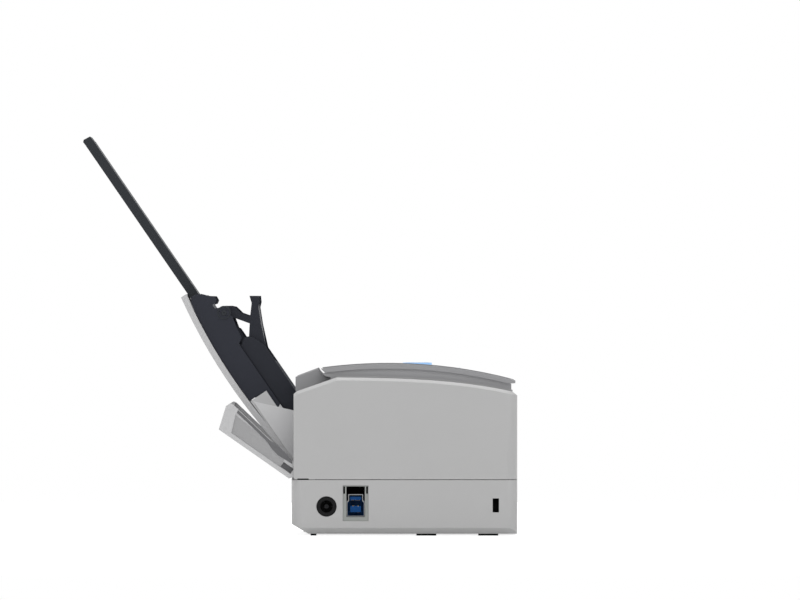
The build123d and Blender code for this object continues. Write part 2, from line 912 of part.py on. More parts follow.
def slab_face(drop, thickness, y_rear, y_front):
    middle = (y_rear + y_front) / 2
    ends = [(y, slab_top(y) - drop) for y in (y_rear, middle, y_front)]
    return arc_band(*ends, thickness)


def make_top_cover():
    """The grey crowned cover: two end plates and the bar that joins them."""
    face = slab_face(0, slab_thickness, slab_rear[0], slab_front[0])
    cover = both_sides(lambda a, b: across(face, a, b), slab_inner, slab_outer)
    y, z = slab_front
    length, height = lip_chamfer
    under_lip = [
        (y - 1, z - slab_thickness - 1),
        (y - 1, z - slab_thickness + height),
        (y, z - slab_thickness + height),
        (y + length, slab_top(y + length) - slab_thickness),
        (y + length, z - slab_thickness - 1),
    ]
    bar = slab_face(0, slab_thickness, front_y + 3.0, slab_front[0])
    cover += across(bar, -slab_inner, slab_inner)
    cover -= plate(under_lip, -half_width, half_width)
    cover -= extension_notch()
    cover -= behind_wedge(1.7, -half_width, half_width)
    cover -= drilled(scan_button_y, ring_radius)
    cover -= drilled(wifi_button_y, wifi_button_radius + button_gap)
    return cover


def wedge_front(gap):
    """The hollow front of the hinge cover, moved forwards and up by gap."""
    dy, dz = -0.6 * gap, 0.8 * gap
    points = ((-9.05, 83.6), (-11.2, 80.7), (-15.5, 79.2))
    return ThreePointArc(*[(y + dy, z + dz) for y, z in points])


def behind_wedge(gap, x_low, x_high):
    """The room that the hinge cover needs in the pieces in front of it."""
    curve = wedge_front(gap)
    y_low, z_low = (curve @ 1).Y, (curve @ 1).Z
    start, end = curve @ 0, curve @ 1
    rest = Polyline(end, (end.X, 60), (rear_y, 60), (rear_y, 90), (start.X, 90), start)
    return across(make_face([curve, *rest.edges()]), x_low, x_high)


def drilled(y, radius):
    return Pos(button_x, y, 80) * Cylinder(radius, 30)


def extension_notch():
    """The gap in the front lip that the sheet extension passes over."""
    half = extension_half + 0.6
    return block((-half, half), (front_y - 1, end_front_y + end_wall + 1), (notch_floor, 90))


def make_top_frame():
    """The light frame under the cover: end walls, front wall and output tray."""
    high = slab_thickness
    rear, front = end_rear_y, end_front_y

    def wall_face(z_low, y_low, y_high):
        crown = ThreePointArc(
            *[(y, slab_top(y) - high) for y in (y_high, (y_low + y_high) / 2, y_low)]
        )
        rest = Polyline(crown @ 1, (y_low, z_low), (y_high, z_low), crown @ 0)
        return make_face([crown, *rest.edges()])

    outer = wall_face(60.0, front, rear)
    inner = wall_face(seam_z + 6, front, rear)
    frame = both_sides(lambda a, b: across(outer, a, b), end_outer - end_wall, end_outer)
    frame += both_sides(lambda a, b: across(inner, a, b), end_inner, end_inner + end_wall)
    shelf = [(rear, 60.0), (rear, 61.6), (front, 61.6), (front, 60.0)]
    frame += both_sides(lambda a, b: plate(shelf, a, b), end_inner, end_outer)
    frame += across(wall_face(62.0, front, front + end_wall), -end_outer, end_outer)
    frame += both_sides(
        lambda a, b: across(wall_face(seam_z + 6, rear - end_wall, rear), a, b), end_inner, end_outer
    )
    wide = (-half_width, half_width)
    frame -= behind_wedge(0.3, *wide) & block(wide, (-15.9, 0), (60, 90))
    post = [(rear + 0.1, wedge_foot), (-3.0, wedge_foot), (-3.0, 66.0), (rear - 1, 60.0)]
    frame += both_sides(lambda a, b: plate(post, a, b), end_inner, end_inner + end_wall)
    boss = both_sides(lambda a, b: rod(6.0, lid_pivot, a, b), end_inner, end_inner + 6.0)
    frame += boss
    frame -= both_sides(
        lambda a, b: rod(pivot_pin_radius, lid_pivot, a, b), end_inner - 1, end_inner + 5.0
    )
    chute_room = block(
        (-lid_half - 0.4, lid_half + 0.4), (end_front_y + 0.8, end_front_y + end_wall + 1), (73.2, 90)
    )
    return frame - extension_notch() - chute_room


def make_output_tray():
    """The tray floor that outgoing sheets slide back over."""
    t = tray_thickness
    top = [tray_floor_rear, tray_floor_middle, tray_floor_front]
    low = [(y, z - t) for y, z in reversed(top)]
    tray = plate([*top, *low], -recess_half, recess_half)
    for x in range(-96, 97, 24):
        tray += plate(
            [
                (tray_floor_rear[0] - 4, tray_floor_rear[1] - 0.3),
                (tray_floor_middle[0] + 8, tray_floor_middle[1] + 0.2),
                (tray_floor_middle[0] + 8, tray_floor_middle[1] + 1.2),
                (tray_floor_rear[0] - 8, tray_floor_rear[1] + 0.6),
            ],
            x - 0.7,
            x + 0.7,
        )
    return tray


def make_hinge_covers():
    """The two grey blocks over the lid hinge, behind the end blocks."""
    curve = wedge_front(0)
    start, end = curve @ 0, curve @ 1
    rest = Polyline(end, (end.X, 76.0), (-11.9, 76.0), (-11.9, wedge_foot), (2.0, wedge_foot), (2.0, 79.45), start)
    face = make_face([curve, *rest.edges()])
    return both_sides(lambda a, b: across(face, a, b), end_inner, wedge_outer)


def make_lid_pins():
    return both_sides(
        lambda a, b: rod(pivot_pin_radius, lid_pivot, a, b), lid_half - wing_thickness + 0.1, end_inner + 5.0
    )


def make_scan_button():
    cap = button_shape(scan_button_radius, slab_top(scan_button_y) + 0.7)
    return Pos(button_x, scan_button_y, 0) * cap


def button_shape(radius, top):
    """A cap with a softened rim, on a stem that stands over its switch."""
    stem_low = button_board_z + 1.6 + button_travel + 0.2
    upwards = (Align.CENTER, Align.CENTER, Align.MIN)
    cap_low = top - cap_height
    cap = Pos(0, 0, cap_low) * Cylinder(radius, cap_height, align=upwards)
    cap = chamfer(cap.faces().sort_by(Axis.Z)[-1].edges(), 0.6)
    return cap + Pos(0, 0, stem_low) * Cylinder(2.0, cap_low - stem_low, align=upwards)


def make_scan_light():
    """The clear ring round the scan button, flush with the cover."""
    top = slab_top(scan_button_y) + 0.6
    low = top - 4.4
    ring = Cylinder(ring_radius, top - low, align=(Align.CENTER, Align.CENTER, Align.MIN))
    ring -= Cylinder(scan_button_radius + button_gap, 20)
    return Pos(button_x, scan_button_y, low) * ring


def make_wifi_button():
    top = slab_top(wifi_button_y) - 0.2
    return Pos(button_x, wifi_button_y, 0) * button_shape(wifi_button_radius, top)


def make_button_board():
    """The small board under both buttons, on posts from the shelf below."""
    z = button_board_z
    board = block((button_x - 9.0, button_x + 8.5), (-90, -46), (z - board_thickness, z))
    for y in (scan_button_y, wifi_button_y):
        board += Pos(button_x, y, z + 0.7) * Cylinder(2.4, 1.4)
    for y in (-87.0, -49.0):
        board += Pos(button_x, y, 61.6) * Cylinder(
            2.0, z - 1.6 - 61.6, align=(Align.CENTER, Align.CENTER, Align.MIN)
        )
    return board


def make_unit_pins():
    return both_sides(
        lambda a, b: rod(unit_pin_radius, unit_pivot, a, b),
        unit_ear_x[0] + 0.5,
        unit_ear_x[1] + knuckle_width,
    )


def make_release_lever():
    """The lever in the front wall that frees the upper unit."""
    y, z = lever_pivot
    body = block((-lever_half, lever_half), (front_y, front_y + 2.2), (seam_z + 0.6, z + 1.6))
    return body + rod(lever_pin_radius, lever_pivot, -lever_half - 2.6, lever_half + 2.6)


# Lid
def shell_edge(w_offset):
    """The lid shell's bowed line, w_offset in front of its outer face."""
    return [
        on_lid(0, w_offset),
        on_lid(shell_tail_u / 2, w_offset - shell_bow),
        on_lid(shell_tail_u, w_offset - 0.3),
    ]


def shell_inner_w(u):
    """How far in front of the lid's line the shell's bowed inner face lies, near enough."""
    share = 1 - 2 * u / shell_tail_u
    return shell_thickness - shell_bow * (1 - share**2)


def make_lid_shell():
    outer = ThreePointArc(*shell_edge(0))
    inner = ThreePointArc(*reversed(shell_edge(shell_thickness)))
    face = make_face([outer, Line(outer @ 1, inner @ 0), inner, Line(inner @ 1, outer @ 0)])
    shell = across(face, -lid_half, lid_half)
    wing = [
        on_lid(-62.5, -0.8),
        on_lid(-62.7, 8.8),
        on_lid(-72.4, 8.7),
        (10.6, 64.3),
        (9.75, 65.8),
        (8.3, 63.65),
        (2.95, 62.6),
        (-11.0, lid_pivot[1] + pivot_boss_radius),
        (-14.55, lid_pivot[1] - pivot_boss_radius),
        (-8.0, 50.0),
        on_lid(shell_tail_u, 2.0),
        on_lid(shell_tail_u, 0.5),
    ]

    def one(x_low, x_high):
        return plate(wing, x_low, x_high) + rod(pivot_boss_radius, lid_pivot, x_low, x_high)

    shell += both_sides(one, lid_half - wing_thickness, lid_half)
    hole = rod(pivot_pin_radius + running_gap, lid_pivot, -half_width, half_width)
    return shell - hole


def make_chute_tray():
    low, high = tray_plate_w
    tray = lid_block((-chute_half + 0.2, chute_half - 0.2), (tray_tail_u, -6.0), (low, high))
    side = [(u, shell_inner_w(u) + chute_seam) for u in (chute_wall_tail_u, -49.0, -36.0, -23.0, -11.0)]
    side += [
        (-4.5, 2.8),
        (-2.6, 4.6),
        (-3.2, 8.0),
        (-6.8, 11.3),
        (-8.8, 14.0),
        (-11.2, 13.8),
        (-12.2, 12.3),
        (-11.8, high),
        (chute_flange_tail_u, high),
        (chute_flange_tail_u, chute_flange_w),
        (chute_wall_tail_u, chute_flange_w),
    ]
    tray += both_sides(
        lambda a, b: lid_plate(side, a, b), chute_half - 0.2 - chute_wall, chute_half - 0.2
    )
    rail = [
        (-90.0, low),
        (-90.0, 2.0),
        (-12.0, 2.0),
        (-8.0, 4.0),
        (-8.0, low),
    ]
    tray += both_sides(
        lambda a, b: lid_plate(rail, a, b), extension_half + slide_gap, extension_half + slide_gap + 2.0
    )
    lip = [(-80.0, 2.0), (-80.0, 3.0), (-20.0, 3.0), (-20.0, 2.0)]
    tray += both_sides(
        lambda a, b: lid_plate(lip, a, b), extension_half - 2.0, extension_half + slide_gap + 0.5
    )
    strut = [
        (-14.0, high - 0.2),
        (-15.2, 13.4),
        (-22.6, 15.8),
        (-29.3, 14.2),
        (-33.8, 13.6),
        (-35.8, high - 0.2),
    ]
    outer = chute_half - 0.2
    tray += both_sides(lambda a, b: lid_plate(strut, a, b), outer - chute_wall + 0.2, outer)
    tray += both_sides(lambda a, b: rod(guide_boss_radius, guide_pivot, a, b), guide_half + 0.4, outer)
    tray -= both_sides(lambda a, b: rod(guide_pin_radius, guide_pivot, a, b), guide_half, outer + 1)
    tray -= both_sides(
        lambda a, b: lid_block((a, b), (-24.5, -12.5), (low - 1, high + 1)),
        guide_half - guide_side_wall - 0.4,
        guide_half + 0.4,
    )
    tray -= both_sides(lambda a, b: guide_key((a, b), groove_play), groove_inner, guide_x + 0.4)
    return tray


def guide_key(x, play):
    """The T-shaped key under a side guide, or the tray's groove when play is added."""
    top = tray_plate_w[1] + 0.5
    head = (key_head_w[0] - play, key_head_w[1] + play)
    neck = lid_block(x, (groove_u - key_neck - play, groove_u + key_neck + play), (head[0], top))
    return neck + lid_block(x, (groove_u - key_head - play, groove_u + key_head + play), head)


def make_paper_extension():
    low, high = extension_w
    half = extension_half
    sheet = lid_block((-half, half), (extension_inner_u, extension_tip_u - 4), (high - extension_skin, high))
    sheet += both_sides(
        lambda a, b: lid_block((a, b), (extension_inner_u, extension_tip_u - 3), (low, high)), half - 3, half
    )
    tip = [
        (extension_tip_u - 6.0, low + 0.2),
        (extension_tip_u - 0.8, low - 0.1),
        (extension_tip_u, low + 0.8),
        (extension_tip_u - 0.4, high - 0.2),
        (extension_tip_u - 6.0, high),
    ]
    sheet += lid_plate(tip, -half, half)
    for x in (-36.0, -12.0, 12.0, 36.0):
        sheet += lid_block((x - 0.8, x + 0.8), (extension_inner_u, extension_tip_u - 5), (low + 0.6, high))
    return sheet


def make_side_guide(side):
    """One sheet-width guide: a low fence, its foot and the tab through the slot."""
    low = tray_plate_w[1] + 0.25
    inner = guide_x - guide_wall
    fence_outline = [
        (guide_u[0], low),
        (guide_u[0], guide_w - 1.5),
        (guide_u[0] + 3, guide_w),
        (guide_u[1] - 5, guide_w),
        (guide_u[1], low + 1.2),
        (guide_u[1], low),
    ]
    guide = lid_plate(fence_outline, inner, guide_x)
    guide += lid_block((guide_x - 14, guide_x), (guide_u[0], guide_u[1] - 4), (low, low + 0.9))
    guide += lid_block((inner - 3, guide_x), (groove_u - 2, guide_u[0] + 1), (low, low + 1.4))
    guide += guide_key((inner - 4, guide_x), 0)
    if side < 0:
        guide = mirror(guide, Plane.YZ)
    return guide


def make_stacker():
    low, high = stacker_face_w
    side = [
        (stacker_top_u - 2.0, tray_plate_w[1]),
        (stacker_top_u + 0.4, 14.0),
        (stacker_top_u, 16.6),
        (stacker_top_u - 2.2, 18.6),
        (stacker_top_u - 8.5, stacker_rib_w),
        (stacker_tail_u + 8.0, stacker_rib_w),
        (stacker_tail_u + 3.0, high),
        (stacker_tail_u, 17.0),
        (stacker_tail_u, tray_plate_w[1]),
    ]
    part = both_sides(lambda a, b: lid_plate(side, a, b), stacker_half - stacker_wall, stacker_half)
    part += lid_block((-stacker_half, stacker_half), (stacker_tail_u + 3.0, stacker_face_top_u), (low, high))
    for x in range(-90, 91, 20):
        rib = [
            (stacker_tail_u + 6.0, high - 0.2),
            (stacker_tail_u + 8.0, stacker_rib_w),
            (stacker_face_top_u - 4.0, stacker_rib_w),
            (stacker_face_top_u - 2.0, high - 0.2),
        ]
        part += lid_plate(rib, x - 0.8, x + 0.8)
    return part


def make_output_guide():
    upright = [
        (25.2, 120.0),
        (20.4, 120.0),
        (20.1, 116.8),
        (20.7, 114.2),
        (19.4, 105.8),
        (16.5, 92.9),
        (18.4, 92.0),
        (25.4, 99.8),
        (24.9, 109.3),
        (24.1, 116.4),
    ]
    arm = [
        (41.0, 113.2),
        (38.95, 114.9),
        (34.95, 115.0),
        (32.65, 114.5),
        (29.45, 111.4),
        (24.0, 109.5),
        (23.5, 105.6),
        (33.2, 109.1),
        (36.5, 108.2),
        (39.9, 109.1),
    ]

    def one(x_low, x_high):
        return (
            plate(upright, x_low, x_high)
            + plate(arm, x_low, x_high)
            + rod(guide_boss_radius, guide_pivot, x_low, x_high)
        )

    part = both_sides(one, guide_half - guide_side_wall, guide_half)
    web = [(24.0, 119.6), (22.0, 119.6), (17.8, 93.4), (19.8, 93.6)]
    part += plate(web, -guide_half, guide_half)
    return part - rod(guide_pin_radius + running_gap, guide_pivot, -half_width, half_width)


def make_output_guide_pins():
    return both_sides(
        lambda a, b: rod(guide_pin_radius, guide_pivot, a, b), guide_half - guide_side_wall, chute_half - 0.2
    )


# Rear flap
def make_rear_flap():
    low, high = flap_floor_p
    floor = [(4.0, low), (4.0, high), (flap_length + 0.6, high), (flap_length, low)]
    flap = flap_plate(floor, -flap_half, flap_half)
    side = [
        (4.0, low),
        (2.4, low + 2.0),
        (2.4, 1.6),
        (7.85, 3.1),
        (48.05, 9.2),
        (49.5, 8.9),
        (50.6, 6.6),
        (flap_length, low),
    ]
    flap += both_sides(lambda a, b: flap_plate(side, a, b), flap_half - 2.2, flap_half)
    cap = [(flap_length, low), (flap_length - 2.2, low), (48.4, 9.0), (49.5, 8.9), (50.6, 6.6)]
    flap += both_sides(lambda a, b: flap_plate(cap, a, b), flap_wall_inner, flap_half)
    low_cap = [(flap_length, low), (flap_length - 2.2, low), (flap_length - 1.2, -1.4), (48.2, -0.4)]
    flap += flap_plate(low_cap, -slab_inner, slab_inner)
    flap += both_sides(flap_ear, flap_half - 2.2, flap_half)
    panel = [(4.6, -3.0), (40.7, -3.0), (44.2, 5.8), (44.6, 12.0), (4.6, 12.0)]
    flap -= both_sides(lambda a, b: flap_plate(panel, a, b), flap_half - 0.8, flap_half + 1)
    patch = [(4.6, -2.9), (11.0, -2.9), (11.0, 0.2), (4.6, 0.2)]
    flap -= both_sides(lambda a, b: flap_plate(patch, a, b), flap_half - 1.7, flap_half + 1)
    return flap - rod(flap_pin_radius + running_gap, flap_pivot, -half_width, half_width)


def flap_ear(x_low, x_high):
    ear = rod(flap_ear_radius, flap_pivot, x_low, x_high)
    return ear + flap_plate([(0.0, -2.0), (0.0, 2.0), (4.0, 2.0), (4.5, -4.0)], x_low, x_high)


def make_flap_pins():
    return both_sides(
        lambda a, b: rod(flap_pin_radius, flap_pivot, a, b), flap_half - 2.8, half_width - 1.2
    )


pieces = {
    "lower_housing": make_lower_housing,
    "rubber_feet": make_rubber_feet,
    "housing_screws": make_housing_screws,
    "paper_deck": make_paper_deck,
    "side_plates": make_side_plates,
    "feed_shaft": lambda: make_shaft((feed_y, roller_z), gear_x + gear_width),
    "feed_tyres": lambda: make_tyres((feed_y, roller_z), drive_radius, tyre_places),
    "feed_gear": lambda: make_shaft_gear("feed", (feed_y, roller_z)),
    "transport_shaft": lambda: make_shaft((transport_y, roller_z), gear_x + gear_width),
    "transport_tyres": lambda: make_tyres((transport_y, roller_z), drive_radius, tyre_places),
    "transport_gear": lambda: make_shaft_gear("transport", (transport_y, roller_z)),
    "pick_shaft": lambda: make_shaft((pick_y, pick_z), gear_x + gear_width),
    "pick_tyres": lambda: make_tyres((pick_y, pick_z), pick_radius, pick_places),
    "pick_gear": lambda: make_shaft_gear("pick", (pick_y, pick_z)),
    "idler_gear": lambda: make_axle_gear("idler", idler_teeth, wide_gear_width, idler_centre()),
    "link_gear": lambda: make_axle_gear("link", link_teeth, gear_width, link_centre()),
    "drive_motor": make_motor,
    "motor_pinion": make_motor_pinion,
    "lower_scan_head": make_lower_head,
    "lower_glass": make_lower_glass,
    "head_posts": make_head_springs_seat,
    "main_board": make_main_board,
    "io_board": make_io_board,
    "board_standoffs": make_board_standoffs,
    "dc_jack": make_dc_jack,
    "dc_jack_pin": make_dc_pin,
    "usb_bezel": make_usb_bezel,
    "usb_socket": make_usb_socket,
    "usb_tongue": make_usb_tongue,
    "upper_housing": make_upper_housing,
    "front_guide": make_front_guide,
    "upper_guide": make_upper_guide,
    "upper_scan_head": make_upper_head,
    "upper_glass": make_upper_glass,
    "feed_idlers": lambda: make_idlers(0),
    "transport_idlers": lambda: make_idlers(1),
    "brake_rollers": lambda: make_idlers(2),
    "top_cover": make_top_cover,
    "top_frame": make_top_frame,
    "output_tray": make_output_tray,
    "hinge_covers": make_hinge_covers,
    "lid_pins": make_lid_pins,
    "scan_button": make_scan_button,
    "scan_light": make_scan_light,
    "wifi_button": make_wifi_button,
    "button_board": make_button_board,
    "unit_pins": make_unit_pins,
    "release_lever": make_release_lever,
    "lid_shell": make_lid_shell,
    "chute_tray": make_chute_tray,
    "paper_extension": make_paper_extension,
    "left_side_guide": lambda: make_side_guide(-1),
    "right_side_guide": lambda: make_side_guide(1),
    "stacker": make_stacker,
    "output_guide": make_output_guide,
    "output_guide_pins": make_output_guide_pins,
    "rear_flap": make_rear_flap,
    "flap_pins": make_flap_pins,
}

os.makedirs("parts", exist_ok=True)
for name, make in pieces.items():
    export_step(make(), f"parts/{name}.step")
    print(name)
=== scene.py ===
# %% [markdown]
# A document scanner, dressed for its picture
#
# This lesson takes a packed mechanical model of a small sheet-fed scanner and gives it the
# surfaces and the fine detail of the real machine. The model is the fixed frame: its pieces
# are never moved, and every new piece rides on one of its bodies, so the lid, the rear flap
# and the rollers still move afterwards.

# %% Load the frame
import math

import bmesh
import bpy
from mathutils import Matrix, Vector


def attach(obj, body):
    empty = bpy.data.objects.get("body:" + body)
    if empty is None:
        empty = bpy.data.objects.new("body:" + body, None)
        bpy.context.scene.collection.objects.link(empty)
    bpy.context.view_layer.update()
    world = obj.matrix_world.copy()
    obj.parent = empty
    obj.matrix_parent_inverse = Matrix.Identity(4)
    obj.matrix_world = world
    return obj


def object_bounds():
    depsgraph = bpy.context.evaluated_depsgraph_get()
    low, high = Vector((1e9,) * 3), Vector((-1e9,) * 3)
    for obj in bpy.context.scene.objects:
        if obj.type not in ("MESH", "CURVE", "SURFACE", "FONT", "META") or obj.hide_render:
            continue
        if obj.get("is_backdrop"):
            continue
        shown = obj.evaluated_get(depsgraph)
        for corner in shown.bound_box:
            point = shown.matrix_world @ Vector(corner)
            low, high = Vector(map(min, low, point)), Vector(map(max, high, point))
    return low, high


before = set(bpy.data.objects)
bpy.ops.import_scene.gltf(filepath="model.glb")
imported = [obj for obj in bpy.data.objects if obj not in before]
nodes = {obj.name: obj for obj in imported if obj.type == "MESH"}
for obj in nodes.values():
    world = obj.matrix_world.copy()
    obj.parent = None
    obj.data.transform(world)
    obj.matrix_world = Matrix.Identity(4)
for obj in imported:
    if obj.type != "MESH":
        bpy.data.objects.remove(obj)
box_low, box_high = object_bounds()
mm = 0.001
print("nodes:", len(nodes), "size in mm:", [round(v / mm, 1) for v in box_high - box_low])

# %% [markdown]
# The camera stands far off to the left and looks straight along the width of the open machine.
# An orthographic camera would draw both side panels the same size, but a long lens from far
# away comes close to that and still frames the machine well from any other side.

# %% Camera
frame_width = 0.400
frame_middle_y = -0.0503
frame_middle_z = 0.1179
camera_distance = 14.3
sensor_width = 36.0

lens_data = bpy.data.cameras.new("camera")
camera = bpy.data.objects.new("camera", lens_data)
bpy.context.scene.collection.objects.link(camera)
bpy.context.scene.camera = camera
lens_data.sensor_width = sensor_width
lens_data.lens = sensor_width * camera_distance / frame_width
lens_data.clip_end = 100.0
camera.location = (box_low.x - camera_distance, frame_middle_y, frame_middle_z)
camera.rotation_euler = (math.radians(90), 0, math.radians(-90))
bpy.context.scene.view_settings.view_transform = "Standard"
print("lens:", round(lens_data.lens))


# %% [markdown]
# Every finish starts from the same plan: a principled shader whose colour, roughness and
# small bumps come from noise laid out in the object's own space. Noise needs no unwrapping,
# as a painted image would, and it looks the same from every side. A few helpers keep each
# finish down to the numbers that make it different.

# %% Shader helpers
def to_linear(value):
    """One channel from the 0 to 255 scale of a picture to the shader's linear scale."""
    share = value / 255
    if share <= 0.04045:
        return share / 12.92
    return ((share + 0.055) / 1.055) ** 2.4


def colour(red, green, blue):
    return (to_linear(red), to_linear(green), to_linear(blue), 1.0)


def add(tree, kind, **inputs):
    """A new node with some of its sockets set by name."""
    node = tree.nodes.new(kind)
    for name, value in inputs.items():
        node.inputs[name.replace("_", " ")].default_value = value
    return node


def shader(name):
    """An empty material with its principled shader."""
    material = bpy.data.materials.new(name)
    material.use_nodes = True
    return material, material.node_tree, material.node_tree.nodes["Principled BSDF"]


def grain(tree, size, detail=3.0):
    """Noise whose features are about that many metres wide, the same from every side."""
    place = tree.nodes.new("ShaderNodeTexCoord")
    noise = add(tree, "ShaderNodeTexNoise", Scale=1 / size, Detail=detail)
    tree.links.new(place.outputs["Object"], noise.inputs["Vector"])
    return noise


noise_low = 0.3
noise_high = 0.7


def between(tree, source, low, high):
    """The noise value, spread over a range of numbers."""
    spread = add(tree, "ShaderNodeMapRange", From_Min=noise_low, From_Max=noise_high,
                 To_Min=low, To_Max=high)
    tree.links.new(source.outputs[0], spread.inputs["Value"])
    return spread


def shaded(tree, source, tone, share):
    """A colour that the noise makes a little lighter and darker."""
    mix = tree.nodes.new("ShaderNodeMix")
    mix.data_type = "RGBA"
    low = tuple(c * (1 - share) for c in tone[:3]) + (1.0,)
    high = tuple(min(1.0, c * (1 + share)) for c in tone[:3]) + (1.0,)
    mix.inputs["A"].default_value = low
    mix.inputs["B"].default_value = high
    tree.links.new(source.outputs[0], mix.inputs["Factor"])
    return mix


def bumped(tree, surface, source, strength, distance):
    """Lets the noise raise and lower the surface by up to a distance in metres."""
    bump = add(tree, "ShaderNodeBump", Strength=strength, Distance=distance)
    tree.links.new(source.outputs[0], bump.inputs["Height"])
    tree.links.new(bump.outputs["Normal"], surface.inputs["Normal"])


def varied(tree, surface, colour_source, tone, share):
    """Gives the surface a colour that drifts a little with the noise."""
    tinted = shaded(tree, colour_source, tone, share)
    tree.links.new(tinted.outputs["Result"], surface.inputs["Base Color"])
    return tinted


def worn(tree, surface, source, rough, spread):
    """Gives the surface a roughness that varies about a middle value."""
    dull = between(tree, source, rough - spread, rough + spread)
    tree.links.new(dull.outputs["Result"], surface.inputs["Roughness"])


print("helpers ready")

# %% [markdown]
# Moulded plastic carries the fine spark-eroded grain of its mould. It is far too small to
# see as bumps in the picture, but it spreads the highlight, which is why these cases look
# satin. A second, much larger noise shifts the colour by a percent or two, since no real
# moulding is perfectly even. The dark plastics get a low gloss: at the usual one the white
# room around them would turn them grey.

# %% Moulded plastics
mould_drift = 0.045
mould_shift = 0.02
mould_depth = 0.00003


def moulded(name, tone, rough, grain_size=0.0004, bump=0.18, gloss=0.5):
    """A satin plastic with mould grain and a slow drift in its colour."""
    material, tree, surface = shader(name)
    fine = grain(tree, grain_size, 2.0)
    broad = grain(tree, mould_drift, 2.0)
    varied(tree, surface, broad, tone, mould_shift)
    worn(tree, surface, fine, rough, 0.06)
    bumped(tree, surface, fine, bump, mould_depth)
    surface.inputs["Specular IOR Level"].default_value = gloss
    return material


case_white = moulded("case_plastic", colour(188, 188, 188), 0.42, gloss=0.35)
# Painted light: the lid shell and the rear flap get a lighter copy of the case white, against the
# shade that falls round them.
painted_light_white = moulded("lid_shell_painted_light", colour(201, 201, 202), 0.40, gloss=0.35)
# Painted highlight: the wing skins get a lighter white still, for the light on the skin above the
# fold.
painted_highlight_white = moulded("wing_skin_painted_highlight", colour(226, 226, 227), 0.40, gloss=0.35)
cover_grey = moulded("cover_plastic", colour(154, 154, 156), 0.36, gloss=0.35)
frame_grey = moulded("frame_plastic", colour(170, 170, 172), 0.45, gloss=0.35)
chute_dark = moulded("chute_plastic", colour(50, 52, 60), 0.55, bump=0.4, gloss=0.12)
stacker_dark = moulded("stacker_plastic", colour(44, 46, 53), 0.50, bump=0.4, gloss=0.12)
extension_dark = moulded("extension_plastic", colour(48, 51, 55), 0.50, gloss=0.15)
inner_dark = moulded("path_plastic", colour(44, 45, 48), 0.50, gloss=0.2)
jack_black = moulded("jack_plastic", colour(22, 22, 23), 0.50, gloss=0.1)
# Painted shade: the boxes and liners behind the openings are black for the dark inside of the case.
painted_shade_black = moulded("shade_box_plastic", colour(16, 16, 17), 0.6, gloss=0.1)
usb_blue = moulded("usb_insert_plastic", colour(20, 78, 142), 0.42, gloss=0.1)
usb_grey = moulded("usb_frame_plastic", colour(158, 161, 158), 0.40, gloss=0.35)
button_pale = moulded("button_plastic", colour(188, 200, 214), 0.30, gloss=0.35)
gear_acetal = moulded("gear_acetal", colour(226, 222, 208), 0.35, gloss=0.35)
foot_rubber = moulded("foot_rubber", colour(20, 20, 21), 0.85, 0.0007, 0.6, gloss=0.1)
print("plastics:", len(bpy.data.materials))


# %% [markdown]
# Turned steel shafts and stamped plates show fine lines along the direction they were
# worked. Stretching the noise along one axis makes them, with no need for an anisotropic
# shader. The metal tones are those of the bare metal, except for the socket shell and the
# jack pin: they sit deep in a socket, and their dark tones are painted shade for the little
# light that reaches them.

# %% Metals
brush_lines = 900.0


def brushed(name, tone, rough, stretch):
    """Metal with fine lines; the stretch squeezes the noise along the brushed axis."""
    material, tree, surface = shader(name)
    place = tree.nodes.new("ShaderNodeTexCoord")
    scaled = tree.nodes.new("ShaderNodeMapping")
    scaled.inputs["Scale"].default_value = stretch
    lines = add(tree, "ShaderNodeTexNoise", Scale=brush_lines, Detail=4.0)
    tree.links.new(place.outputs["Object"], scaled.inputs["Vector"])
    tree.links.new(scaled.outputs["Vector"], lines.inputs["Vector"])
    varied(tree, surface, lines, tone, 0.08)
    worn(tree, surface, lines, rough, 0.08)
    surface.inputs["Metallic"].default_value = 1.0
    bumped(tree, surface, lines, 0.15, 0.00003)
    return material


along_x = (0.05, 1.0, 1.0)
even = (1.0, 1.0, 1.0)
steel = brushed("shaft_steel", colour(196, 197, 200), 0.30, along_x)
plate_steel = brushed("plate_steel", colour(178, 180, 184), 0.38, (1.0, 0.06, 1.0))
motor_steel = brushed("motor_steel", colour(170, 172, 176), 0.34, (1.0, 1.0, 0.06))
# Painted shade: the socket shell and the jack pin are toned dark for the little light deep in their
# sockets.
painted_shade_steel = brushed("painted_shade_steel", colour(124, 126, 129), 0.36, (0.06, 1.0, 1.0))
contact_gold = brushed("contact_gold", colour(212, 176, 96), 0.25, along_x)
painted_shade_pin = brushed("painted_shade_pin", colour(40, 40, 42), 0.6, even)
bush_bronze = brushed("bush_bronze", colour(168, 132, 84), 0.35, even)
print("metals: 7")


# %% [markdown]
# Three finishes for the inside. Roller rubber is ground round on a lathe, which leaves fine
# rings; a wave texture across the roller's axis draws them. The scan windows are clear
# glass with a slight haze. A circuit board is green lacquer over raised copper tracks, and
# a Voronoi texture measured in city blocks gives their straight, branching edges.

# %% Rubber, glass and circuit boards
def ground_rubber(name, tone):
    material, tree, surface = shader(name)
    place = tree.nodes.new("ShaderNodeTexCoord")
    rings = add(tree, "ShaderNodeTexWave", Scale=420.0, Distortion=1.2, Detail=2.0)
    rings.bands_direction = "X"
    tree.links.new(place.outputs["Object"], rings.inputs["Vector"])
    dust = grain(tree, 0.004)
    varied(tree, surface, dust, tone, 0.12)
    surface.inputs["Roughness"].default_value = 0.8
    bumped(tree, surface, rings, 0.4, 0.0001)
    return material


def clear_glass(name):
    material, tree, surface = shader(name)
    haze = grain(tree, 0.01)
    worn(tree, surface, haze, 0.04, 0.02)
    surface.inputs["Base Color"].default_value = (0.82, 0.88, 0.87, 1.0)
    surface.inputs["Transmission Weight"].default_value = 0.9
    surface.inputs["IOR"].default_value = 1.5
    return material


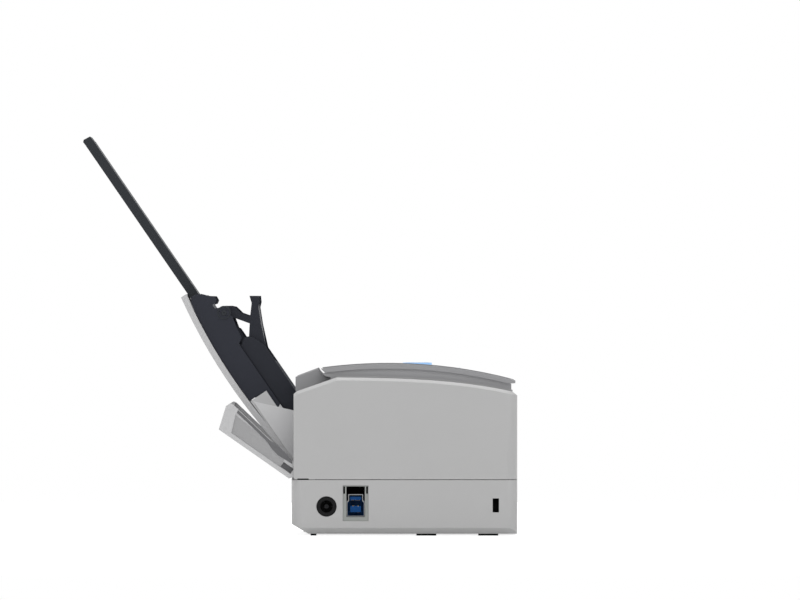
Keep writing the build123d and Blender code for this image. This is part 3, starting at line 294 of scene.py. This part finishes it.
def circuit_board(name):
    material, tree, surface = shader(name)
    place = tree.nodes.new("ShaderNodeTexCoord")
    tracks = add(tree, "ShaderNodeTexVoronoi", Scale=260.0)
    tracks.distance = "MANHATTAN"
    tree.links.new(place.outputs["Object"], tracks.inputs["Vector"])
    varied(tree, surface, tracks, colour(22, 86, 48), 0.25)
    surface.inputs["Roughness"].default_value = 0.35
    bumped(tree, surface, tracks, 0.3, 0.00005)
    return material


roller_rubber = ground_rubber("roller_rubber", colour(92, 92, 94))
window_glass = clear_glass("window_glass")
board_green = circuit_board("board_green")
print("materials so far:", len(bpy.data.materials))


# %% [markdown]
# The ring round the scan button is lit from below. A lamp inside a glass ring would be the
# literal way, but slow and noisy to render. Here the shader lets a little blue light out of
# a pale, satin surface, so the ring reads as lit and still takes shade.

# %% Lit ring
def lit_ring(name):
    material, tree, surface = shader(name)
    cloud = grain(tree, 0.003)
    tinted = varied(tree, surface, cloud, colour(150, 198, 246), 0.05)
    tree.links.new(tinted.outputs["Result"], surface.inputs["Emission Color"])
    surface.inputs["Emission Strength"].default_value = 0.35
    surface.inputs["Roughness"].default_value = 0.25
    return material


ring_blue = lit_ring("lit_ring")
print("ring:", ring_blue.name)

# %% [markdown]
# The frame's pieces now get their finishes. Each could be painted where it is dressed, but a
# single dictionary from finish to names reads like the paint list of a workshop, and shows
# at once that no piece was forgotten.

# %% Paint list
paint = {
    case_white: ["lower_housing", "upper_housing"],
    painted_light_white: ["lid_shell", "rear_flap"],
    cover_grey: ["top_cover", "hinge_covers", "release_lever"],
    frame_grey: ["top_frame", "output_tray"],
    chute_dark: ["chute_tray", "left_side_guide", "right_side_guide"],
    stacker_dark: ["stacker", "output_guide", "output_guide_pins"],
    extension_dark: ["paper_extension"],
    inner_dark: [
        "paper_deck", "upper_guide", "front_guide",
        "upper_scan_head", "lower_scan_head", "head_posts",
    ],
    foot_rubber: ["rubber_feet"],
    roller_rubber: [
        "feed_tyres", "transport_tyres", "pick_tyres",
        "feed_idlers", "transport_idlers", "brake_rollers",
    ],
    steel: [
        "feed_shaft", "transport_shaft", "pick_shaft",
        "lid_pins", "unit_pins", "flap_pins",
        "housing_screws", "board_standoffs",
    ],
    painted_shade_pin: ["dc_jack_pin"],
    plate_steel: ["side_plates"],
    motor_steel: ["drive_motor"],
    painted_shade_steel: ["usb_socket"],
    gear_acetal: [
        "feed_gear", "transport_gear", "pick_gear",
        "idler_gear", "link_gear", "motor_pinion",
    ],
    window_glass: ["lower_glass", "upper_glass"],
    board_green: ["main_board", "io_board", "button_board"],
    jack_black: ["dc_jack"],
    usb_blue: ["usb_tongue"],
    usb_grey: ["usb_bezel"],
    button_pale: ["scan_button", "wifi_button"],
    ring_blue: ["scan_light"],
}

painted = 0
for material, names in paint.items():
    for name in names:
        slots = nodes[name].data.materials
        slots.clear()
        slots.append(material)
        painted += 1
print("painted:", painted, "of", len(nodes))


# %% [markdown]
# Nothing that leaves a mould has a knife edge. A bevel modifier that works only where two
# faces meet at an angle rounds the frame's edges without touching its meshes: a weld first
# joins the split corners, and the bevel then rounds what is sharp. The top cover is left
# out, since its long thin triangles round the button holes would show as dark slivers, and
# the frame already gives it chamfered lips.

# %% Rounded edges
weld_reach = 0.00001
sharp_angle = math.radians(35)


def soften(names, width, segments=3):
    """Rounds the sharp edges of these nodes and keeps their flat faces flat in the light."""
    for name in names:
        node = nodes[name]
        weld = node.modifiers.new("weld", "WELD")
        weld.merge_threshold = weld_reach
        bevel = node.modifiers.new("edges", "BEVEL")
        bevel.width = width
        bevel.segments = segments
        bevel.limit_method = "ANGLE"
        bevel.angle_limit = sharp_angle
        bevel.harden_normals = True
        bevel.miter_outer = "MITER_ARC"


thin_edged = ["paper_extension", "stacker", "output_guide", "chute_tray", "top_frame"]
thin_edged += ["output_tray", "left_side_guide", "right_side_guide", "release_lever"]
soften(["lower_housing"], 0.0005)
soften(["upper_housing"], 0.0007)
soften(["lid_shell", "rear_flap", "hinge_covers"], 0.0004)
soften(thin_edged, 0.0003)
soften(["usb_bezel", "dc_jack", "rubber_feet"], 0.0002, 2)
print("softened:", sum(1 for node in nodes.values() if "edges" in node.modifiers))


# %% [markdown]
# The small parts that the frame leaves out are built in mesh code. A few helpers are enough:
# a profile turned about an axis, the profile of a washer, and a bar with rounded edges.
# Ready-made primitives would be quicker, but their knife edges catch no light. Every new
# piece names the body it rides on, so it moves with the machine.

# %% Small part helpers
smooth_below = math.radians(38)
join_reach = 0.000001


def finished(name, work, body, material):
    """Makes the object, smooths what is round, and hands it to its body."""
    bmesh.ops.remove_doubles(work, verts=work.verts, dist=join_reach)
    bmesh.ops.recalc_face_normals(work, faces=work.faces)
    mesh = bpy.data.meshes.new(name)
    work.to_mesh(mesh)
    work.free()
    mesh.shade_smooth()
    mesh.set_sharp_from_angle(angle=smooth_below)
    mesh.materials.append(material)
    thing = bpy.data.objects.new(name, mesh)
    bpy.context.scene.collection.objects.link(thing)
    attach(thing, body)
    return thing


def turned(work, profile, centre, steps=32):
    """Turns a closed profile of (X, radius) pairs, in millimetres, about a line along X."""
    rings = []
    for along, radius in profile:
        ring = []
        for step in range(steps):
            angle = 2 * math.pi * step / steps
            spot = (along, centre[0] + radius * math.cos(angle), centre[1] + radius * math.sin(angle))
            ring.append(work.verts.new([v * mm for v in spot]))
        rings.append(ring)
    for index, ring in enumerate(rings):
        after = rings[(index + 1) % len(rings)]
        for step in range(steps):
            nxt = (step + 1) % steps
            work.faces.new((ring[step], ring[nxt], after[nxt], after[step]))


def mirrored(profile, sign):
    """The same profile, on the right side for 1 and on the left side for -1."""
    return [(sign * along, radius) for along, radius in profile]


def washer(x_low, x_high, inner, outer, edge=0.12):
    """The profile of a flat ring with its outer edges broken."""
    return [
        (x_low, inner), (x_high, inner), (x_high, outer - edge),
        (x_high - edge, outer), (x_low + edge, outer), (x_low, outer - edge),
    ]


def bar(work, low, high, edge=0.15):
    """A bar between two corners in millimetres, with rounded edges."""
    made = bmesh.ops.create_cube(work, size=1.0)
    middle = (Vector(low) + Vector(high)) / 2
    size = Vector(high) - Vector(low)
    for corner in made["verts"]:
        for axis in range(3):
            corner.co[axis] = (corner.co[axis] * size[axis] + middle[axis]) * mm
    edges = {e for corner in made["verts"] for e in corner.link_edges}
    bmesh.ops.bevel(
        work, geom=list(edges), offset=edge * mm, segments=2, affect="EDGES", profile=0.5,
    )


print("part helpers ready")

# %% [markdown]
# The power jack on the left shows the tip of its contact pin, so the pin gets a collar with a
# dimple in place of a flat end, and three spring contacts stand round it deep in the barrel.
# Texture could fake both, but the barrel is deep enough for real parts to look better from
# an angle.

# %% Power jack
side_x = -148.0
jack_place = (-13.55, 14.65)
pin_radius = 1.2
pin_dimple = 0.35
pin_front = side_x + 1.3
pin_rear = side_x + 3.0

# The pin tip and the contacts take the dark pin tone, painted shade for the depth of the barrel.
work = bmesh.new()
tip = [
    (pin_front + 0.2, pin_dimple), (pin_front, pin_dimple + 0.2), (pin_front, pin_radius - 0.2),
    (pin_front + 0.25, pin_radius), (pin_rear, pin_radius), (pin_rear, pin_dimple),
]
turned(work, tip, jack_place, steps=24)
finished("jack_pin_tip", work, "base", painted_shade_pin)

contact_circle = 2.7
contact_half = 0.3
contact_x = (side_x + 4.0, side_x + 9.0)
work = bmesh.new()
for turn in (60, 180, 300):
    y = jack_place[0] + contact_circle * math.cos(math.radians(turn))
    z = jack_place[1] + contact_circle * math.sin(math.radians(turn))
    low = (contact_x[0], y - contact_half, z - contact_half)
    bar(work, low, (contact_x[1], y + contact_half, z + contact_half), 0.1)
finished("jack_contacts", work, "base", painted_shade_pin)
print("jack pieces: 2")

# %% [markdown]
# Behind the data socket and the lock opening the case is hollow. Left open, their slots
# would show lit parts inside, where the real ones look black with shade. A black box behind
# each opening keeps the light of the room out, and its black is painted shade; black paint
# would have to cover every part seen through the slot. The seam over the jack widens at the
# hinge, and a black liner of painted shade does the same there.

# %% Shrouds of painted shade
usb_place = (-28.1, 16.25)
lock_place = (-98.2, 15.2)


def dark_box(name, x, y, z, wall, lap, back):
    """A black box of painted shade, open to the left; its walls overlap by the lap."""
    work = bmesh.new()
    step = wall - lap
    bar(work, (x[0], y[0], z[0]), (x[1], y[0] + wall, z[1]))
    bar(work, (x[0], y[1] - wall, z[0]), (x[1], y[1], z[1]))
    bar(work, (x[0], y[0] + step, z[0]), (x[1], y[1] - step, z[0] + wall))
    bar(work, (x[0], y[0] + step, z[1] - wall), (x[1], y[1] - step, z[1]))
    bar(work, (x[1] - back, y[0] + step, z[0] + step), (x[1], y[1] - step, z[1] - step))
    finished(name, work, "base", painted_shade_black)


port_y = (usb_place[0] - 6.4, usb_place[0] + 6.4)
dark_box("port_shade_box", (side_x + 4.45, side_x + 19.0), port_y, (7.5, 25.0), 0.5, 0.1, 0.5)
lock_y = (lock_place[0] - 2.6, lock_place[0] + 2.6)
lock_z = (lock_place[1] - 4.6, lock_place[1] + 4.6)
dark_box("lock_shade_box", (side_x + 2.75, side_x + 9.0), lock_y, lock_z, 0.8, 0.2, 0.6)

# Black liners in the widened seam at the hinge: painted shade.
liner_y = (-4.9, 1.3)
liner_z = (27.98, 29.2)
work = bmesh.new()
for side in (-1, 1):
    x = sorted((side * 144.4, side * 145.05))
    bar(work, (x[0], liner_y[0], liner_z[0]), (x[1], liner_y[1], liner_z[1]), 0.05)
finished("hinge_gap_shade_liners", work, "upper_unit", painted_shade_black)
print("shrouds: 3")

# %% [markdown]
# The data socket carries nine gold contacts: two rows of two on its tongue and a row of five
# in the upper part. They are flat strips, so bars with a fine edge are all they need.

# %% Data contacts
strip_x = (side_x + 9.0, side_x + 16.5)
strip_edge = 0.05
power_pitch = 1.25
power_half = 0.45
power_floors = (14.72, 11.68)
signal_pitch = 0.95
signal_half = 0.25
signal_z = (17.73, 17.87)

work = bmesh.new()
for offset in (-power_pitch, power_pitch):
    for floor_z in power_floors:
        y = usb_place[0] + offset
        low = (strip_x[0], y - power_half, floor_z)
        bar(work, low, (strip_x[1], y + power_half, floor_z + 0.2), strip_edge)
for index in range(5):
    y = usb_place[0] + (index - 2) * signal_pitch
    low = (strip_x[0], y - signal_half, signal_z[0])
    bar(work, low, (strip_x[1], y + signal_half, signal_z[1]), strip_edge)
finished("usb_contacts", work, "base", contact_gold)
print("contacts: 9")

# %% [markdown]
# The drive train shows when the upper unit is tipped up. Real gear wheels are moulded with a
# hub and a rim that stand proud of the web, and a steel clip holds each shaft in its plate.
# Flanged bronze bushes sit where the shafts cross the steel plates. All of them are round,
# so each is a short profile turned about its shaft.

# %% Drive train details
feed_place = (-38.0, 20.3)
transport_place = (-78.0, 20.3)
pick_place = (-13.5, 22.05)
idler_place = (-58.0, 20.3)
shaft_rows = {"feed": feed_place, "transport": transport_place, "pick": pick_place}
shaft_radius = 2.5
plate_inner = 118.5
clip_x = (-121.2, -120.6)
clip_radius = 4.2
flange_radius = 4.1
gear_side = 125.0
idler_side = 130.0

work = bmesh.new()
flange = washer(plate_inner - 0.9, plate_inner - 0.02, shaft_radius + 0.08, flange_radius)
for centre in shaft_rows.values():
    for side in (-1, 1):
        turned(work, mirrored(flange, side), centre)
finished("shaft_bushes", work, "base", bush_bronze)


def wheel_face(name, centre, body, x_face, hub, rim):
    """The proud hub and rim of a moulded gear wheel, each an inner and an outer radius."""
    work = bmesh.new()
    turned(work, washer(x_face - 0.05, x_face + 0.45, hub[0], hub[1]), centre)
    turned(work, washer(x_face - 0.05, x_face + 0.35, rim[0], rim[1]), centre)
    finished(name, work, body, gear_acetal)


for row, centre in shaft_rows.items():
    wheel_face(row + "_gear_face", centre, row + "_roller", gear_side, (2.55, 3.9), (6.1, 6.9))
    work = bmesh.new()
    turned(work, washer(clip_x[0], clip_x[1], shaft_radius, clip_radius), centre, steps=24)
    finished(row + "_shaft_clip", work, row + "_roller", plate_steel)
idler_hub = (2.05, 3.6)
idler_rim = (9.6, 10.8)
wheel_face("idler_gear_face", idler_place, "idler_wheel", idler_side, idler_hub, idler_rim)
print("wheels dressed:", len(shaft_rows) + 1)

# %% [markdown]
# A contact image sensor is a long bar with a row of rod lenses in the middle and a light
# guide beside it, under the glass. Both show through the clean glass when the unit is open.
# The row has some hundreds of lenses, each finer than a hair's breadth in the picture, so
# one dark, glossy bar with a fine grain stands for them.

# %% Scan head optics
guide_milk = moulded("light_guide", colour(226, 230, 232), 0.22, 0.002, 0.05)
lens_dark = moulded("rod_lens", colour(26, 30, 38), 0.12, 0.0008, 0.3)
head_middle = -58.0
head_reach = 101.5
lens_y = (head_middle - 0.9, head_middle + 0.9)
light_y = (head_middle + 1.1, head_middle + 2.3)
scan_heads = (("lower", "base", 21.2, 1), ("upper", "upper_unit", 33.8, -1))


def head_bar(name, body, y, z, edge, material):
    work = bmesh.new()
    bar(work, (-head_reach, y[0], z[0]), (head_reach, y[1], z[1]), edge)
    finished(name, work, body, material)


for name, body, slot_floor, upwards in scan_heads:
    lens_z = sorted((slot_floor, slot_floor + upwards * 2.6))
    light_z = sorted((slot_floor, slot_floor + upwards * 3.2))
    head_bar(name + "_lens_row", body, lens_y, lens_z, 0.2, lens_dark)
    head_bar(name + "_light_guide", body, light_y, light_z, 0.3, guide_milk)
print("scan heads:", len(scan_heads))

# %% [markdown]
# The end plates of the rear flap are not flat: a sunken field fills most of each plate, a
# narrow channel runs under its upper edge, and a step sits by the hinge. The frame has the
# shallow pockets, and thin grey insets in them carry painted shade: the field is painted a
# little darker than the white plastic, the channel and the step darker still, for the shade
# that falls in them. Splitting the frame's faces by material would do it too, but the
# frame's meshes stay as they are.

# %% Flap insets of painted shade
flap_lean = math.radians(34.9)
flap_hinge = (-1.0, 30.6)
# Painted shade: the field, channel and step insets are greys darker than the flap's white, for the
# shade in the pockets.
painted_shade_grey = moulded("inset_shade_plastic", colour(168, 168, 169), 0.5, gloss=0.25)
channel_shade_grey = moulded("channel_shade_plastic", colour(112, 112, 114), 0.5, gloss=0.2)
step_shade_grey = moulded("step_shade_plastic", colour(98, 98, 100), 0.5, gloss=0.2)


def on_flap(along, above):
    """The (Y, Z) place of a point along the flap and above its hinge line."""
    c, s = math.cos(flap_lean), math.sin(flap_lean)
    return (flap_hinge[0] + along * c - above * s, flap_hinge[1] + along * s + above * c)


def pressed(work, outline, x_low, x_high):
    """A plate whose side outline is a list of (Y, Z) corners in millimetres."""
    ends = []
    for x in (x_low, x_high):
        ends.append([work.verts.new((x * mm, y * mm, z * mm)) for y, z in outline])
    work.faces.new(ends[0])
    work.faces.new(list(reversed(ends[1])))
    count = len(outline)
    for index in range(count):
        after = (index + 1) % count
        work.faces.new((ends[0][index], ends[1][index], ends[1][after], ends[0][after]))


def both_ends(name, body, outline, x, material):
    """The same pressed plate at the right end and at the left end of the machine."""
    work = bmesh.new()
    pressed(work, outline, x[0], x[1])
    pressed(work, outline, -x[1], -x[0])
    finished(name, work, body, material)


field = [(11.2, -2.9), (40.6, -2.9), (43.9, 5.6), (30.5, 4.6), (23.6, 3.35)]
field += [(19.4, 1.75), (15.1, 0.9), (11.2, 1.1), (11.2, 0.35)]
channel = [(6.8, 1.7), (15.1, 1.2), (19.4, 2.05), (23.6, 3.65), (30.5, 4.9)]
channel += [(44.2, 6.9), (44.4, 8.3), (22.4, 5.0), (16.8, 5.1), (8.1, 3.1)]
step = [(4.8, -2.7), (10.8, -2.7), (10.8, 0.0), (4.8, 0.0)]
insets = (
    ("flap_field_shades", field, (143.7, 144.0), painted_shade_grey),
    ("flap_channel_shades", channel, (143.7, 144.1), channel_shade_grey),
    ("flap_step_shades", step, (142.85, 143.1), step_shade_grey),
)
for name, outline, x, material in insets:
    both_ends(name, "flap", [on_flap(*corner) for corner in outline], x, material)
print("insets:", len(insets))

# %% [markdown]
# The side wings of the lid are two layers: an outer skin laps over the inner wall, and its
# upper edge shows as a fold line. A thin plate with the skin's outline gives a true edge that
# shades by itself, which a painted line would not. The skin is painted lighter than the
# shell, a painted highlight for the light that falls on it.

# %% Wing skins
skin = [(23.2, 67.15), (3.2, 62.65), (-11.0, 60.5), (-14.0, 53.4), (-8.0, 50.6)]
skin += [(3.3, 38.6), (9.0, 46.5)]
both_ends("wing_skins", "lid", skin, (116.9, 117.4), painted_highlight_white)
print("wing skins: 2")

# %% [markdown]
# Between the side panel and the frame under the cover lies a narrow step, just higher than
# the panel's bright rim. It follows the crown of the panel. A curve object could be bent to
# it by eye, but the cubic through the crown's own four points fits exactly.

# %% Crown steps
crown = ((-18.55, 79.2), (-50.5, 78.6), (-88.5, 75.4), (-106.6, 72.1))
crown_parts = 24
step_above = 0.9
step_below = 1.2


def crown_height(y):
    """The cubic through the four crown points."""
    total = 0.0
    for i, (y_i, z_i) in enumerate(crown):
        share = 1.0
        for j, (y_j, z_j) in enumerate(crown):
            if i != j:
                share *= (y - y_j) / (y_i - y_j)
        total += share * z_i
    return total


reach = crown[-1][0] - crown[0][0]
step_ys = [crown[0][0] + reach * part / crown_parts for part in range(crown_parts + 1)]
outline = [(y, crown_height(y) + step_above) for y in step_ys]
outline += [(y, crown_height(y) - step_below) for y in reversed(step_ys)]
# The step takes the inset grey: painted shade for the dim band between the frame and the bright rim.
both_ends("crown_shade_steps", "upper_unit", outline, (141.9, 144.6), painted_shade_grey)
print("crown steps: 2, middle height", round(crown_height(crown[1][0]), 1))

# %% [markdown]
# The output guide turns on two short pins in the walls of the chute. From the side each pin
# shows as a small hub with a raised ring round it, which is what tells the eye that the
# dark fork can move. Two washers a side, turned about the pin, make it.

# %% Output guide hubs
guide_hinge = (37.9, 111.5)
hub_ring = washer(114.7, 115.05, 2.7, 3.35)
hub_cap = washer(114.7, 115.2, 0.3, 1.4)

work = bmesh.new()
for side in (-1, 1):
    turned(work, mirrored(hub_ring, side), guide_hinge)
    turned(work, mirrored(hub_cap, side), guide_hinge, steps=24)
finished("guide_hubs", work, "lid", extension_dark)
print("hubs: 2")

# %% [markdown]
# The sheet guides are pushed by hand, so their fences carry a few grip ribs on top. The lid
# leans back at rest, so the ribs are laid out straight along it and then turned into place;
# measuring each leaning rib in the machine's own axes would be slow and full of mistakes.

# %% Side guide grips
lean = math.radians(34.5)
lid_tip = Vector((0.0, 59.45, 119.15))
up_lid = Vector((0.0, math.sin(lean), math.cos(lean)))
out_lid = Vector((0.0, -math.cos(lean), math.sin(lean)))
chute_fence = (105.3, 106.9)
rib_start = -60.0
rib_pitch = 2.4
rib_width = 1.1
rib_w = (14.9, 15.5)
rib_count = 5


def lid_bar(work, x, u, w, edge=0.1):
    """A bar laid out along the lid: u runs up it and w stands out from it."""
    start = len(work.verts)
    bar(work, (x[0], u[0], w[0]), (x[1], u[1], w[1]), edge)
    work.verts.ensure_lookup_table()
    for corner in work.verts[start:]:
        across, along, out = corner.co
        corner.co = Vector((across, 0, 0)) + lid_tip * mm + up_lid * along + out_lid * out


for side, name in ((-1, "left_guide"), (1, "right_guide")):
    work = bmesh.new()
    x = sorted((side * chute_fence[0], side * chute_fence[1]))
    for index in range(rib_count):
        u = rib_start + index * rib_pitch
        lid_bar(work, x, (u, u + rib_width), rib_w)
    finished(name + "_grip", work, name, chute_dark)
print("grips: 2 of", rib_count, "ribs")

# %% [markdown]
# A pale floor and an even, bright world stand in for a photographer's light tent. More light
# would turn the floor white but wash out the machine. Instead the camera, gloss and glass
# see both as plain white: the floor adds a glow to what the lamps give it, so only the
# shadow under the machine falls short of white. All other rays meet plain pale paper, so
# the white does not light the machine any further.

# %% Floor
floor_reach = 2.2
floor_glow = 0.75
floor_tone = (0.78, 0.78, 0.78, 1.0)

floor_data = bpy.data.meshes.new("floor")
corners = [(-floor_reach, -floor_reach, 0), (floor_reach, -floor_reach, 0)]
corners += [(floor_reach, floor_reach, 0), (-floor_reach, floor_reach, 0)]
floor_data.from_pydata(corners, [], [(0, 1, 2, 3)])
floor = bpy.data.objects.new("floor", floor_data)
bpy.context.scene.collection.objects.link(floor)
floor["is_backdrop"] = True


def seen_directly(tree):
    """One for rays that come from the camera, from gloss or through glass."""
    path = tree.nodes.new("ShaderNodeLightPath")
    total = path.outputs["Is Camera Ray"]
    for ray in ("Is Glossy Ray", "Is Transmission Ray"):
        either = tree.nodes.new("ShaderNodeMath")
        either.operation = "MAXIMUM"
        tree.links.new(total, either.inputs[0])
        tree.links.new(path.outputs[ray], either.inputs[1])
        total = either.outputs[0]
    return total


def pale_floor(name):
    """Paper that catches the shadow, and lifts to the backdrop's white."""
    material, tree, surface = shader(name)
    fibre = grain(tree, 0.002)
    varied(tree, surface, fibre, floor_tone, 0.01)
    surface.inputs["Roughness"].default_value = 0.9
    surface.inputs["Specular IOR Level"].default_value = 0.1
    glow = add(tree, "ShaderNodeEmission", Strength=floor_glow)
    both = tree.nodes.new("ShaderNodeAddShader")
    switch = tree.nodes.new("ShaderNodeMixShader")
    output = tree.nodes["Material Output"]
    tree.links.new(surface.outputs[0], both.inputs[0])
    tree.links.new(glow.outputs[0], both.inputs[1])
    tree.links.new(seen_directly(tree), switch.inputs[0])
    tree.links.new(surface.outputs[0], switch.inputs[1])
    tree.links.new(both.outputs[0], switch.inputs[2])
    tree.links.new(switch.outputs[0], output.inputs["Surface"])
    return material


floor_data.materials.append(pale_floor("pale_floor"))
print("floor:", 2 * floor_reach, "m square")

# %% [markdown]
# The world is the inside of the tent: an even white that fills the shadows. A sky texture or
# a studio picture would be livelier, but a catalogue picture of a pale case wants plain
# light. The same switch as on the floor gives the camera a full white to look at.

# %% World
tent_strength = 0.52
white = (1, 1, 1, 1)

world = bpy.data.worlds.new("light_tent")
bpy.context.scene.world = world
world.use_nodes = True
tree = world.node_tree
tree.nodes.clear()
tent = add(tree, "ShaderNodeBackground", Color=white, Strength=tent_strength)
backdrop = add(tree, "ShaderNodeBackground", Color=white, Strength=1.0)
pick = tree.nodes.new("ShaderNodeMixShader")
out = tree.nodes.new("ShaderNodeOutputWorld")
tree.links.new(seen_directly(tree), pick.inputs[0])
tree.links.new(tent.outputs[0], pick.inputs[1])
tree.links.new(backdrop.outputs[0], pick.inputs[2])
tree.links.new(pick.outputs[0], out.inputs["Surface"])
print("world:", world.name)


# %% [markdown]
# Three large soft boxes shape the case: one beside the camera for the side panel, one above
# for the light rims along the top, and a weaker one behind. Small lamps would give the same
# brightness with hard shadows, which a light tent never shows.

# %% Lamps
def soft_box(name, place, size, power):
    """A square area lamp in metres and watts, aimed at the middle of the machine."""
    data = bpy.data.lights.new(name, "AREA")
    data.size = size
    data.energy = power
    lamp = bpy.data.objects.new(name, data)
    bpy.context.scene.collection.objects.link(lamp)
    lamp.location = place
    aim = machine_middle - Vector(place)
    lamp.rotation_euler = aim.to_track_quat("-Z", "Y").to_euler()


machine_middle = Vector((0.0, -0.02, 0.08))
soft_box("side_box", (-2.6, -0.3, 1.3), 1.6, 15.0)
soft_box("top_box", (0.0, -0.1, 2.4), 1.6, 27.0)
soft_box("rear_box", (1.2, 1.8, 1.2), 1.4, 9.0)

# %% [markdown]
# The dressed machine has to fill the same box as the bare frame, so the last line measures
# its box once more.

low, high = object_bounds()
